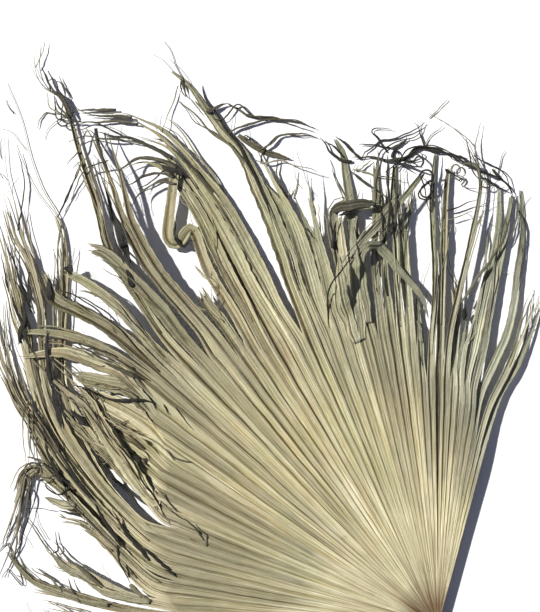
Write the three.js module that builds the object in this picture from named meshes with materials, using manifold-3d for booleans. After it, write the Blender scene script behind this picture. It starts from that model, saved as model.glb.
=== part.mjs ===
// A dried fan palm leaf lying flat: a pleated fan whose rim splits into long free segments,
// and the short stalk that carries it. Millimetres, +Z up, z = 0 is the surface that it lies on.
// The pleats meet over the origin, the stalk runs along -Y and the leaf's midline along +Y.
import * as THREE from "three";
import Module from "manifold-3d";

const wasm = await Module();
wasm.setup();

// Driving sizes of the fan
const PLEATS = 60;
const FAN_START = 75; // bearing of the first pleat's edge, in degrees, counter-clockwise
const FAN_SPAN = 120;
const FAN_CROWDING = 0.15; // the first pleats are narrower than the last by twice this share
const MIDLINE = 135; // bearing of the leaf's midline in the lie of the routes below
const SHEET = 0.9; // thickness of the free segments
const FAN_SHEET = 1.2; // and of the fan, across the slopes of its folds
const FAN_HEIGHT = 17; // height of the pleats' middle over the surface
const FAN_DIP = 7; // the upper left of the rim hangs lower than that by this much
const DIP_RADII = [200, 480]; // where the dip begins and where it is full
const DIP_PLEATS = [15, 22, 33, 41]; // it grows over the first two pleats and fades over the last two
const WAVE_RADII = [90, 420]; // where the fan's slow waves begin and where they are full
const WAVES = [[2.2, 0.31, 0.6, 0], [1.4, 0.13, 0, 1 / 130]]; // height, pace by pleat, shift, pace by radius
const FOLD_SHARE = 0.27; // half the depth of a fold, as a share of the pleat's width
const FOLD_MOST = 4.2;
const SPLIT_SWAY = 14; // how far a split strays from the listed radius, in a wave along the rim
const SPLIT_PACE = 2.4;
const VALLEY_REACH = 4; // a valley ends this far beyond the nearer of its edges
const HUB_RADIUS = 18;
const CROWN_RADIUS = 62; // the pleats are folded from here outwards
const FAN_ROWS = [0, 0.28, 0.64, 1];

// Driving sizes of the segments
const ROOT_SINK = 8; // length of a segment's root inside the fan
const ROOT_INSET = 0.08; // the root is inside the pleat's edges by this share of the pleat
const ROOT_SHEET = 0.45; // and thinner than the fan, so that it lies inside it
const ROW_LENGTH = 50;
const PEAK = 0.34; // share of its length at which a segment has its middle height, unless it has its own
const PEAK_KEPT = 0.11; // it keeps that height for this share more
const WIDE_AT = 0.35; // and has its free width from this share on
const TURNED_AT = 0.7; // and its whole roll from this one
const TIP_WIDTH = 3;
const TAPER = 3.4; // power of the share of its length with which a segment narrows
const NECK = [0.1, 0.22, 0.42]; // a neck is narrowest between the first two shares and is gone at the third
const FREE_FOLD = 0.16; // half the depth of a free segment's fold, as a share of the width of its pleats
const FOLD_LOST = 0.75; // share of that depth that is gone at the tip
const FORK_EARLY = 0.45; // share of a segment's length where it forks, from the earliest to the latest
const FORK_LATE = 0.8;
const PRONG_SPREAD = 16; // most that a prong's tip moves aside
const PRONG_LEAST = 0.25; // and the least share of that
const PRONG_BEND = 1.4; // power with which a prong moves aside
const PRONG_LOST = 0.5; // share of its width that it loses
const SPREAD_DRAW = 90; // shifts between the draws
const SHORT_DRAW = 7;
const LOWEST = 1.5; // height of the sheet's middle where it comes nearest to the surface
const RESTING = new Set([15, 49]); // segments, by their first pleat, whose tips rest on the surface

// Driving sizes of the stalk
const STALK_END = -185;
const RIB_START = 8; // beyond it the stalk narrows to a rib under the pleats
const RIB_END = 88;
const RIB_WIDTH = 5;
const RIB_THICKNESS = 3.2;
const RIB_DROP = 0.6; // the rib's top lies lower than the stalk's by this much
const STALK_WIDTH = 27;
const FLARE = 4; // the stalk widens by this much towards the hub
const FLARE_START = -90;
const STALK_TOP = 15.4;
const STALK_LIFT = 1.5; // height of the cut end over the surface
const SPOT_START = -20; // the stalk rests on a flat spot from here to the hub
const LIP_RADIUS = 14;
const LIP_TOP = 21;

// Radius at which the fan splits: pleat number and millimetres
const SPLITS = [
  [0, 235], [2, 290], [4, 330], [8, 370], [10, 375], [12, 440], [18, 460], [24, 480], [28, 508],
  [31, 528], [35, 560], [37, 515], [39, 470], [42, 465], [44, 425], [47, 405], [52, 400], [56, 350],
  [60, 280],
];

// The free segments. Each grows out of the pleats `from` .. `from + pleats - 1` and follows `way`, points in
// millimetres from the hub with the midline at its bearing; `mid` and `end` are its heights half way and at
// its tip, `roll` turns it about its own length, in degrees, and `wide` is its width where it is free. One
// with a `tip` is torn off at that width; the others part along their middle into two prongs. A `neck` is the
// share of its width that it has near its root, and `peak` the share of its length where it has its `mid`.
const SEGMENTS = [
  // Right edge
  { from: 0, wide: 11, mid: 12, end: 0.5, roll: 12, way: [
    [93, 347], [116, 384], [135, 429], [153, 489], [168, 537],
  ] },
  { from: 1, wide: 11, mid: 16, end: 4, roll: -10, way: [
    [78, 332], [101, 377], [120, 422], [138, 474], [153, 504], [164, 526],
  ] },
  { from: 2, wide: 13, tip: 6, mid: 9, end: 1, roll: 10, way: [
    [64, 345], [87, 396], [105, 438], [116, 486], [122, 534], [128, 579], [130, 616], [126, 654],
  ] },
  { from: 3, wide: 12, tip: 6, mid: 12, end: 5, roll: -12, way: [
    [54, 356], [68, 411], [76, 459], [86, 512], [98, 564], [106, 609], [112, 648],
  ] },
  { from: 4, wide: 16, tip: 5, mid: 10, end: 4, roll: 12, way: [
    [44, 374], [56, 424], [63, 462], [72, 504], [84, 552], [92, 602], [94, 657],
  ] },
  { from: 5, wide: 12, mid: 17, end: 9, roll: -15, way: [[35, 390], [43, 436], [49, 467], [58, 480]] },
  { from: 6, wide: 10, mid: 12, end: 3, roll: 10, way: [[26, 408], [30, 489], [27, 549], [29, 577]] },
  { from: 7, wide: 9, mid: 20, end: 12, roll: 10, way: [
    [15, 408], [20, 450], [32, 500], [42, 546], [51, 588], [60, 632], [63, 672], [44, 732],
  ] },
  { from: 8, wide: 12, tip: 6, mid: 10, end: 7, roll: -10, way: [
    [4, 426], [6, 489], [9, 564], [12, 632], [18, 688],
  ] },
  { from: 9, wide: 10, tip: 5, mid: 12, end: 4, roll: 12, way: [
    [-9, 429], [-4, 489], [-4, 546], [-6, 594], [-8, 639], [-6, 669], [-2, 710],
  ] },
  { from: 10, wide: 9, tip: 5, mid: 12, end: 6, roll: 0, way: [[-25, 430], [-28, 467], [-30, 492]] },
  // Upright segments of the middle
  { from: 11, wide: 15, mid: 11, end: 4, roll: -12, way: [
    [-42, 468], [-45, 504], [-50, 579], [-51, 639], [-52, 694],
  ] },
  { from: 12, wide: 10, tip: 6, mid: 17, end: 5, roll: 20, way: [
    [-58, 476], [-62, 519], [-65, 594], [-67, 639], [-64, 694],
  ] },
  { from: 13, wide: 11, mid: 11, end: 2, roll: -18, way: [
    [-73, 480], [-78, 519], [-80, 579], [-79, 639], [-78, 692],
  ] },
  { from: 14, wide: 12, tip: 7, mid: 15, end: 4, roll: 15, way: [
    [-88, 480], [-93, 519], [-95, 579], [-91, 617], [-92, 654], [-94, 694],
  ] },
  { from: 15, wide: 18, tip: 5, mid: 12, end: 0.5, roll: -10, way: [
    [-117, 504], [-122, 564], [-130, 632], [-136, 676], [-142, 711], [-154, 732],
  ] },
  { from: 16, wide: 15, tip: 12, mid: 16, end: 22, roll: 8, way: [
    [-136, 489], [-148, 546], [-156, 596], [-155, 617], [-144, 627], [-118, 631], [-90, 632],
  ] },
  { from: 17, wide: 14, tip: 7, neck: 0.45, mid: 34, end: 28, roll: 20, way: [
    [-150, 476], [-150, 513], [-138, 546], [-117, 574], [-87, 606], [-63, 630], [-40, 657], [-22, 680],
  ] },
  { from: 18, wide: 22, mid: 11, end: 26, roll: -15, way: [
    [-159, 489], [-164, 513], [-174, 549], [-184, 585], [-195, 620], [-202, 650], [-210, 687],
  ] },
  { from: 19, wide: 24, mid: 9, end: 6, roll: -15, way: [
    [-180, 489], [-189, 522], [-201, 561], [-213, 597], [-230, 632], [-248, 662], [-264, 690], [-278, 714],
    [-292, 734],
  ] },
  { from: 20, pleats: 2, wide: 30, tip: 3, mid: 8, end: 3, roll: 10, way: [
    [-208, 495], [-218, 522], [-228, 558], [-242, 594], [-258, 632], [-272, 662], [-285, 692], [-298, 714],
    [-324, 744], [-350, 778], [-374, 812], [-400, 834],
  ] },
  { from: 22, wide: 22, mid: 10, end: 5, roll: 10, way: [
    [-242, 484], [-260, 522], [-278, 555], [-300, 597], [-324, 636], [-366, 688], [-417, 741], [-447, 758],
    [-470, 768], [-514, 768], [-548, 774],
  ] },
  // The broad group of the middle left, which parts near its end
  { from: 23, pleats: 2, wide: 25, mid: 12, end: 8, roll: -6, way: [
    [-264, 480], [-285, 516], [-303, 552], [-324, 591], [-351, 638], [-381, 684], [-408, 714], [-432, 726],
    [-462, 732], [-507, 746],
  ] },
  { from: 25, wide: 22, mid: 15, end: 11, roll: 10, way: [
    [-288, 477], [-310, 519], [-332, 564], [-351, 606], [-375, 646], [-402, 681], [-432, 699], [-462, 696],
    [-482, 684],
  ] },
  { from: 26, wide: 17, tip: 13, mid: 11, end: 19, roll: -10, way: [
    [-304, 468], [-328, 506], [-348, 543], [-363, 574], [-374, 596], [-392, 602], [-396, 582], [-411, 590],
    [-408, 624], [-400, 657], [-394, 687],
  ] },
  { from: 27, wide: 18, tip: 12, mid: 16, end: 20, roll: 20, way: [[-324, 458], [-342, 480], [-358, 506]] },
  { from: 28, pleats: 2, wide: 26, mid: 28, peak: 0.55, end: 5, roll: 10, way: [
    [-352, 448], [-378, 478], [-404, 508], [-428, 540], [-447, 573], [-464, 609], [-477, 650], [-490, 687],
    [-502, 717], [-514, 744], [-526, 758], [-550, 756],
  ] },
  { from: 30, wide: 20, tip: 13, mid: 20, peak: 0.5, end: 20, roll: -8, way: [
    [-387, 438], [-411, 470], [-438, 500], [-464, 526], [-484, 546], [-504, 561], [-526, 567],
  ] },
  { from: 31, wide: 13, mid: 11, end: 7, roll: 30, way: [
    [-406, 428], [-437, 470], [-464, 512], [-485, 546], [-498, 572], [-507, 609], [-518, 647], [-525, 669],
    [-534, 699], [-543, 729], [-552, 762], [-567, 794], [-592, 809], [-603, 822], [-611, 849], [-611, 874],
  ] },
  { from: 32, wide: 17, tip: 12, mid: 19, end: 20, roll: -12, way: [
    [-428, 420], [-449, 444], [-468, 467], [-488, 486], [-508, 502], [-530, 517], [-558, 530],
  ] },
  { from: 33, wide: 23, tip: 15, mid: 15, end: 18, roll: 8, way: [
    [-449, 408], [-480, 436], [-512, 458], [-546, 475], [-575, 490], [-596, 534],
  ] },
  { from: 34, wide: 14, tip: 7, mid: 22, end: 20, roll: 15, way: [
    [-470, 397], [-500, 414], [-538, 430], [-582, 440], [-616, 441],
  ] },
  { from: 35, wide: 22, tip: 6, mid: 20, end: 21, roll: 8, way: [
    [-452, 360], [-477, 382], [-507, 393], [-537, 404], [-564, 411], [-620, 404],
  ] },
  { from: 36, wide: 24, tip: 14, mid: 15, end: 18, roll: -8, way: [
    [-438, 330], [-465, 356], [-498, 364], [-528, 372], [-550, 376],
  ] },
  // Left side, where the segments are matted
  { from: 37, pleats: 2, wide: 40, tip: 15, mid: 12, end: 12, roll: 6, way: [
    [-432, 292], [-465, 315], [-496, 332], [-522, 344], [-540, 352],
  ] },
  { from: 39, wide: 24, tip: 12, mid: 10, end: 11, roll: -6, way: [
    [-438, 263], [-456, 278], [-489, 298], [-519, 320], [-540, 334],
  ] },
  { from: 40, wide: 22, tip: 10, mid: 10, end: 8, roll: 8, way: [
    [-431, 235], [-453, 254], [-488, 278], [-513, 294], [-537, 308],
  ] },
  { from: 41, wide: 22, tip: 11, mid: 8, end: 9, roll: -8, way: [
    [-458, 232], [-489, 254], [-513, 267], [-534, 280],
  ] },
  { from: 42, wide: 18, mid: 10, end: 13, roll: 20, way: [
    [-417, 182], [-446, 207], [-482, 240], [-507, 266], [-531, 294], [-552, 324], [-572, 351], [-592, 374],
  ] },
  { from: 43, wide: 26, mid: 16, end: 18, roll: -8, way: [
    [-408, 160], [-428, 189], [-446, 219], [-468, 250], [-489, 280], [-506, 309], [-524, 334], [-549, 357],
    [-584, 390], [-614, 424],
  ] },
  { from: 44, wide: 15, mid: 7, end: 2, roll: 15, way: [
    [-435, 158], [-462, 184], [-489, 216], [-514, 250], [-537, 288], [-555, 328], [-566, 372], [-566, 429],
    [-564, 504], [-562, 552], [-566, 597], [-578, 624], [-597, 654], [-614, 694], [-634, 759], [-660, 812],
  ] },
  { from: 45, wide: 16, mid: 14, end: 5, roll: -15, way: [
    [-432, 140], [-465, 171], [-500, 208], [-532, 252], [-560, 294], [-579, 334], [-590, 376], [-594, 422],
    [-596, 470], [-612, 542], [-630, 590], [-642, 639], [-657, 681], [-666, 732],
  ] },
  { from: 46, wide: 15, mid: 8, end: 6, roll: 20, way: [
    [-429, 123], [-468, 156], [-506, 195], [-540, 237], [-570, 279], [-591, 321], [-606, 369], [-618, 429],
    [-639, 519], [-650, 579], [-666, 639],
  ] },
  { from: 47, wide: 15, mid: 15, end: 3, roll: -15, way: [
    [-428, 105], [-468, 136], [-508, 177], [-544, 219], [-574, 261], [-600, 302], [-627, 339], [-650, 399],
    [-662, 452], [-669, 504], [-678, 556],
  ] },
  { from: 48, wide: 15, mid: 9, end: 6, roll: 20, way: [
    [-426, 88], [-465, 117], [-506, 154], [-543, 196], [-579, 237], [-600, 278], [-615, 316], [-636, 362],
    [-651, 396], [-657, 440],
  ] },
  { from: 49, wide: 14, mid: 16, end: 0.5, roll: -10, way: [
    [-426, 69], [-462, 98], [-498, 135], [-537, 177], [-574, 213], [-603, 237], [-618, 228], [-627, 194],
    [-638, 152], [-650, 111], [-666, 76],
  ] },
  { from: 50, wide: 14, mid: 8, end: 3, roll: 15, way: [
    [-432, 54], [-465, 82], [-498, 122], [-531, 153], [-561, 166], [-588, 174],
  ] },
  { from: 51, wide: 14, mid: 14, end: 4, roll: -20, way: [
    [-462, 44], [-507, 66], [-537, 84], [-564, 94], [-582, 112], [-589, 130],
  ] },
  { from: 52, wide: 13, mid: 9, end: 1, roll: 20, way: [
    [-462, 22], [-522, 36], [-567, 50], [-597, 59], [-620, 72], [-636, 91], [-646, 108],
  ] },
  // Lowest segments on the left
  { from: 53, wide: 13, mid: 14, end: 5, roll: -15, way: [[-452, 0], [-515, 6], [-567, 17], [-614, 22]] },
  { from: 54, wide: 14, mid: 10, end: 2, roll: 25, way: [[-450, -20], [-510, -21], [-570, -16], [-627, -8]] },
  { from: 55, wide: 14, mid: 14, end: 4, roll: -20, way: [
    [-445, -39], [-505, -48], [-560, -56], [-612, -56],
  ] },
  { from: 56, wide: 13, mid: 9, end: 1, roll: 20, way: [
    [-380, -48], [-425, -57], [-480, -72], [-534, -84], [-580, -101],
  ] },
  { from: 57, wide: 13, mid: 13, end: 3, roll: -20, way: [
    [-360, -60], [-402, -72], [-446, -92], [-502, -119], [-544, -151],
  ] },
  { from: 58, wide: 12, mid: 9, end: 1, roll: 25, way: [
    [-328, -68], [-364, -82], [-410, -104], [-454, -134], [-492, -171],
  ] },
  { from: 59, wide: 12, mid: 12, end: 0.5, roll: -20, way: [
    [-295, -73], [-326, -89], [-362, -114], [-399, -146], [-430, -188],
  ] },
];

// The loose threads. Each leaves segment `on` (its first pleat) at the share `at` of its length, follows
// `way` and ends at the height `end`.
const THREADS = [
  { on: 31, at: 0.9, end: 8, way: [[-577, 812], [-592, 845]] },
  { on: 31, at: 0.86, end: 5, way: [[-560, 812], [-590, 838]] },
  { on: 28, at: 0.97, end: 6, way: [[-572, 762], [-576, 800]] },
  { on: 28, at: 0.8, end: 3, way: [[-530, 684], [-552, 640]] },
  { on: 23, at: 0.93, end: 4, way: [[-520, 757], [-560, 748]] },
  { on: 25, at: 0.8, end: 6, way: [[-424, 672], [-452, 655]] },
  { on: 20, at: 0.96, end: 4, way: [[-386, 806], [-378, 794]] },
  { on: 20, at: 0.8, end: 3, way: [[-322, 762], [-300, 784], [-276, 766], [-236, 758], [-186, 744]] },
  { on: 19, at: 0.96, end: 2, way: [[-290, 738], [-262, 716], [-226, 702]] },
  { on: 19, at: 0.86, end: 4, way: [[-262, 712], [-240, 736], [-186, 735]] },
  { on: 15, at: 0.12, wide: 17, end: 18, way: [
    [-114, 561], [-93, 572], [-75, 555], [-58, 534], [-40, 513], [-26, 496], [-15, 462],
  ] },
  { on: 15, at: 0.9, end: 6, way: [[-158, 722], [-174, 730]] },
  { on: 14, at: 0.96, end: 5, way: [[-84, 714], [-58, 728], [-30, 738], [-20, 756]] },
  { on: 12, at: 0.97, end: 6, way: [[-44, 716], [-4, 718], [46, 690], [94, 672], [112, 652]] },
  { on: 13, at: 0.96, end: 10, way: [[-36, 712], [-10, 722], [44, 700]] },
  { on: 7, at: 0.93, end: 7, way: [[84, 690], [104, 676], [110, 650]] },
  { on: 7, at: 0.98, end: 9, way: [[24, 748], [-12, 770]] },
  { on: 17, at: 0.97, end: 22, way: [[-24, 664], [-14, 622]] },
  { on: 44, at: 0.72, end: 12, way: [[-560, 640], [-534, 700]] },
  { on: 45, at: 0.8, end: 6, way: [[-622, 668], [-632, 712]] },
  { on: 49, at: 0.7, end: 2, way: [[-612, 190], [-626, 130], [-652, 70]] },
  { on: 51, at: 0.9, end: 2, way: [[-572, 110], [-576, 140]] },
  { on: 52, at: 0.9, end: 2, way: [[-624, 58], [-650, 84]] },
];

// Segments, by their first pleat, that cross or touch others
const CROSSING = new Set([5, 12, 20, 23, 31, 36, 39, 42, 43, 44, 46, 48, 49, 50]);

const THREAD_WIDTH = 2.6; // unless a thread has its own
const THREAD_ROW = 30;
const THREAD_TIP = 1.2; // width that it narrows to
const THREAD_TAPER = 3;

const SMALLEST_STEP = 0.03; // smaller steps in the blade's surface are smoothed away
const STRAW = 0xb3aa7c;
const WOOD = 0x9a7f52;

const rad = THREE.MathUtils.degToRad;
const lerp = THREE.MathUtils.lerp;
const smooth = (x, a, b) => THREE.MathUtils.smoothstep(x, a, b);
const UP = new THREE.Vector3(0, 0, 1);

// A fixed draw between 0 and 1 for each number.
function draw(number) {
  const wave = 43758.5453 * Math.sin(12.9898 * number + 4.1);
  return wave - Math.floor(wave);
}

// The bearing of a pleat's edge, in radians; half numbers are the folds' valleys.
function bearing(pleat) {
  const u = pleat / PLEATS;
  return rad(FAN_START + FAN_SPAN * (u - FAN_CROWDING * u * (1 - u)));
}

function splitRadius(pleat) {
  const next = SPLITS.findIndex(([edge]) => edge >= pleat);
  const [edge, radius] = SPLITS[next];
  if (next === 0) return radius;
  const [edgeBefore, radiusBefore] = SPLITS[next - 1];
  return lerp(radiusBefore, radius, (pleat - edgeBefore) / (edge - edgeBefore));
}

// The split radius at each edge, uneven from pleat to pleat.
const edgeRadii = Array.from(
  { length: PLEATS + 1 },
  (_, edge) => splitRadius(edge) + SPLIT_SWAY * Math.sin(SPLIT_PACE * edge),
);

const pleatWidth = (pleat, r) => r * (bearing(pleat + 0.5) - bearing(pleat - 0.5));
const foldDepth = (pleat, r) => Math.min(FOLD_SHARE * pleatWidth(pleat, r), FOLD_MOST);

// Height of the pleats' middle: level at the hub, with slow waves and the dip towards the rim.
function fanHeight(pleat, r) {
  const [dipStart, dipFull, dipFades, dipEnd] = DIP_PLEATS;
  const along = smooth(pleat, dipStart, dipFull) * (1 - smooth(pleat, dipFades, dipEnd));
  const dip = along * smooth(r, ...DIP_RADII);
  let z = FAN_HEIGHT - FAN_DIP * dip;
  for (const [height, byPleat, shift, byRadius] of WAVES) {
    z += smooth(r, ...WAVE_RADII) * height * Math.sin(byPleat * pleat + shift + byRadius * r);
  }
  return z;
}

function fanPoint(edge, r, fold) {
  const angle = bearing(edge);
  const z = fanHeight(edge, r) + fold * foldDepth(edge, r);
  return new THREE.Vector3(r * Math.cos(angle), r * Math.sin(angle), z);
}

// A closed sheet round a surface of triangles, as a solid; `thickness` gives the sheet's at each point.
// Both faces are split alike, and its rim is closed by a wall.
function sheetSolid(points, triangles, thickness = () => SHEET) {
  const normals = points.map(() => new THREE.Vector3());
  const face = new THREE.Vector3();
  const side = new THREE.Vector3();
  for (const [a, b, c] of triangles) {
    face.subVectors(points[b], points[a]).cross(side.subVectors(points[c], points[a]));
    for (const corner of [a, b, c]) normals[corner].add(face);
  }
  const faces = [];
  const count = points.length;
  const rim = new Set(triangles.flatMap(([a, b, c]) => [`${a},${b}`, `${b},${c}`, `${c},${a}`]));
  for (const [a, b, c] of triangles) {
    faces.push(a, b, c, c + count, b + count, a + count);
    for (const [p, q] of [[a, b], [b, c], [c, a]]) {
      if (!rim.has(`${q},${p}`)) faces.push(q, p, p + count, q, p + count, q + count);
    }
  }
  const corners = new Float32Array(6 * count);
  points.forEach((point, i) => {
    const shift = normals[i].normalize().multiplyScalar(thickness(i) / 2);
    corners.set(point.clone().add(shift).toArray(), 3 * i);
    corners.set(point.clone().sub(shift).toArray(), 3 * (i + count));
  });
  for (let i = 2; i < corners.length; i += 3) corners[i] = Math.max(corners[i], 0);
  return solidOf(corners, new Uint32Array(faces));
}

function solidOf(vertProperties, triVerts) {
  return new wasm.Manifold(new wasm.Mesh({ numProp: 3, vertProperties, triVerts }));
}

// Two triangles for each cell between rows of point numbers; they face up when a row runs from right to left
// as seen along the rows' direction.
function rowTriangles(rows) {
  const triangles = [];
  for (let row = 0; row + 1 < rows.length; row++) {
    for (let k = 0; k + 1 < rows[row].length; k++) {
      const [a, b] = [rows[row][k], rows[row][k + 1]];
      const [c, d] = [rows[row + 1][k], rows[row + 1][k + 1]];
      triangles.push([a, c, d], [a, d, b]);
    }
  }
  return triangles;
}

// The numbers of rows of points that are stored one after another.
function rowNumbers(rows, across, first = 0) {
  const number = (row, k) => first + row * across + k;
  return Array.from({ length: rows }, (_, row) => Array.from({ length: across }, (_, k) => number(row, k)));
}

// A point of the fan's line `line`: even lines are the pleats' edges, odd lines their valleys.
function linePoint(line, share) {
  return fanPoint(line / 2, lerp(CROWN_RADIUS, lineEnd(line), share), line % 2 === 1 ? -1 : 1);
}

function lineEnd(line) {
  const edge = Math.floor(line / 2);
  return line % 2 === 1 ? Math.min(edgeRadii[edge], edgeRadii[edge + 1]) + VALLEY_REACH : edgeRadii[edge];
}

// The fan, from the hub to the splits, with the segments that grow on from its rim without crossing another.
// Edges of pleats are ridges and their middles are valleys; near the hub, where the folds are too fine, every
// fourth line goes on alone.
function fan(grown) {
  const columns = 2 * PLEATS + 1;
  const points = [];
  for (let k = 0; k < columns; k += 4) points.push(fanPoint(k / 2, HUB_RADIUS, 0));
  const crown = points.length;
  for (const share of FAN_ROWS) {
    for (let k = 0; k < columns; k++) points.push(linePoint(k, share));
  }
  const rows = rowNumbers(FAN_ROWS.length, columns, crown);
  const triangles = rowTriangles(rows);
  for (let group = 0; group + 1 < crown; group++) {
    const k = crown + 4 * group;
    triangles.push([group, k, k + 1], [group, k + 1, k + 2], [group, k + 2, group + 1]);
    triangles.push([group + 1, k + 2, k + 3], [group + 1, k + 3, k + 4]);
  }
  const fanCount = points.length;
  for (const spec of grown) {
    const { from, pleats = 1 } = spec;
    addRibbon(points, triangles, rows.at(-1).slice(2 * from, 2 * (from + pleats) + 1), segmentRows(spec));
  }
  return sheetSolid(points, triangles, (i) => (i < fanCount ? FAN_SHEET : SHEET));
}

// Adds a ribbon's points and triangles, growing on from the row of points numbered in `root`: its joined
// rows, then its prongs, which part at the last joined row's middle.
function addRibbon(points, triangles, root, { joined, prongs }) {
  const numbers = [root, ...rowNumbers(joined.length, root.length, points.length)];
  points.push(...joined.flat());
  triangles.push(...rowTriangles(numbers));
  const middle = (root.length - 1) / 2;
  prongs.forEach((rows, side) => {
    const base = numbers.at(-1).slice(side * middle, (side + 1) * middle + 1);
    triangles.push(...rowTriangles([base, ...rowNumbers(rows.length, base.length, points.length)]));
    points.push(...rows.flat());
  });
}

// The least height of the middle of a segment's sheet.
function lowest(from) {
  return RESTING.has(from) ? SHEET / 2 : LOWEST;
}

// The line that a segment follows: straight out of the fan, then along its way.
function segmentLine({ from, pleats = 1, mid, end, peak = PEAK, way }) {
  const middle = from + pleats / 2;
  const start = Math.min(...edgeRadii.slice(from, from + pleats + 1)) - ROOT_SINK;
  const root = [start, start + 2 * ROOT_SINK].map((r) => {
    const angle = bearing(middle);
    return new THREE.Vector3(r * Math.cos(angle), r * Math.sin(angle), 0);
  });
  const free = way.map(([x, y]) => new THREE.Vector3(x, y, 0));
  const line = new THREE.CatmullRomCurve3([...root, ...free], false, "centripetal");
  const rootHeight = fanHeight(middle, start + 2 * ROOT_SINK);
  const length = line.getLength();
  const rootShare = (2 * ROOT_SINK) / length;
  const at = (s) => {
    const bent = lerp(rootHeight, mid, smooth(s, rootShare, peak));
    return line.getPointAt(s).setZ(Math.max(lerp(bent, end, smooth(s, peak + PEAK_KEPT, 1)), lowest(from)));
  };
  return { at, start, middle, rootShare, length };
}

// A row of a segment's root: it goes straight on along the fan's last faces, to the radius r, a little inside
// the edges of its pleats.
function rootRow(from, pleats, r) {
  const [inner, outer] = FAN_ROWS.slice(-2);
  const lines = Array.from({ length: 2 * pleats + 1 }, (_, k) => {
    const line = 2 * from + k;
    const a = linePoint(line, inner);
    const b = linePoint(line, outer);
    const innerRadius = lerp(CROWN_RADIUS, lineEnd(line), inner);
    return a.lerp(b, (r - innerRadius) / (lineEnd(line) - innerRadius));
  });
  lines[0].lerp(lines[1], ROOT_INSET);
  lines.at(-1).lerp(lines.at(-2), ROOT_INSET);
  return lines;
}

// One row across a segment at the share s of its length: a folded ribbon with one valley for each of its
// pleats, which leaves the fan at the pleats' own width and depth and narrows to its tip.
function segmentRow(spec, line, s) {
  const { pleats = 1, wide, roll, neck = 1, tip = TIP_WIDTH } = spec;
  const { start, middle, rootShare } = line;
  const ahead = line.at(Math.min(s + 0.02, 1)).sub(line.at(s - 0.02)).setZ(0).normalize();
  const left = new THREE.Vector3().crossVectors(UP, ahead);
  const turn = rad(roll) * smooth(s, rootShare, TURNED_AT);
  const over = left.clone().multiplyScalar(Math.cos(turn)).addScaledVector(UP, Math.sin(turn));
  const out = UP.clone().multiplyScalar(Math.cos(turn)).addScaledVector(left, -Math.sin(turn));
  const free = smooth(s, rootShare, WIDE_AT);
  const rootWidth = pleatWidth(middle, start) * (pleats - ROOT_INSET);
  const [neckStart, neckLast, neckEnd] = NECK;
  const waist = lerp(1, neck, smooth(s, rootShare, neckStart) * (1 - smooth(s, neckLast, neckEnd)));
  const width = waist * lerp(lerp(rootWidth, wide, free), tip, s ** TAPER);
  const fold = lerp(foldDepth(middle, start), FREE_FOLD * (wide / pleats), free) * (1 - FOLD_LOST * s);
  return Array.from({ length: 2 * pleats + 1 }, (_, k) => {
    const aside = (k / (2 * pleats) - 0.5) * width;
    return line.at(s).addScaledVector(over, aside).addScaledVector(out, k % 2 === 1 ? -fold : fold);
  });
}

// The rows of a segment beyond its root. Past the fork the two halves of each row move apart and narrow, and
// the one prong ends before the other.
function segmentRows(spec) {
  const { from, pleats = 1, tip } = spec;
  const line = segmentLine(spec);
  const count = Math.max(4, Math.round(line.length / ROW_LENGTH));
  const shares = Array.from({ length: count }, (_, row) => lerp(line.rootShare, 1, (row + 1) / count));
  const forkAt = lerp(FORK_EARLY, FORK_LATE, draw(from));
  const forkRow = tip ? count : Math.max(1, Math.round(forkAt * count));
  const rows = shares.map((s) => segmentRow(spec, line, s));
  const prong = (side) => rows.slice(forkRow).map((row, i, { length }) => {
    const half = side < 0 ? row.slice(0, pleats + 1) : row.slice(pleats);
    const centre = half[0].clone().lerp(half.at(-1), 0.5);
    const away = row.at(-1).clone().sub(row[0]).setZ(0).normalize();
    const gone = (i + 1) / length;
    const spread = PRONG_SPREAD * lerp(PRONG_LEAST, 1, draw(from + SPREAD_DRAW + side));
    const moved = side * spread * gone ** PRONG_BEND;
    return half.map((point) => point.clone().lerp(centre, PRONG_LOST * gone).addScaledVector(away, moved));
  });
  const prongs = forkRow < count ? [prong(-1), prong(1)] : [];
  if (prongs.length && count - forkRow > 1) prongs[draw(from + SHORT_DRAW) < 0.5 ? 0 : 1].pop();
  const joined = rows.slice(0, forkRow);
  for (const point of [...joined, ...prongs.flat()].flat()) point.z = Math.max(point.z, lowest(from));
  return { joined, prongs };
}

// A segment that crosses others, as a solid of its own with its root inside the fan.
function crossingSegment(spec) {
  const { from, pleats = 1 } = spec;
  const { start } = segmentLine(spec);
  const [root, rim] = [start, start + 2 * ROOT_SINK].map((r) => rootRow(from, pleats, r));
  const { joined, prongs } = segmentRows(spec);
  const points = [...root];
  const triangles = [];
  addRibbon(points, triangles, [...root.keys()], { joined: [rim, ...joined], prongs });
  return sheetSolid(points, triangles, (i) => (i < root.length ? ROOT_SHEET : SHEET));
}

// One loose thread: a flat ribbon that starts inside its segment.
function thread({ on, at, end, way, wide = THREAD_WIDTH }) {
  const line = segmentLine(SEGMENTS.find(({ from }) => from === on));
  const root = line.at(at);
  const free = way.map(([x, y], i) => new THREE.Vector3(x, y, lerp(root.z, end, (i + 1) / way.length)));
  const curve = new THREE.CatmullRomCurve3([root, ...free], false, "centripetal");
  const rows = Math.max(3, Math.round(curve.getLength() / THREAD_ROW));
  const points = [];
  for (let row = 0; row < rows; row++) {
    const s = row / (rows - 1);
    const centre = curve.getPointAt(s);
    const left = new THREE.Vector3().crossVectors(UP, curve.getTangentAt(s)).normalize();
    const half = lerp(wide, THREAD_TIP, s ** THREAD_TAPER) / 2;
    centre.z = Math.max(centre.z, LOWEST);
    points.push(centre.clone().addScaledVector(left, -half), centre.clone().addScaledVector(left, half));
  }
  return sheetSolid(points, rowTriangles(rowNumbers(rows, 2)));
}

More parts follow.
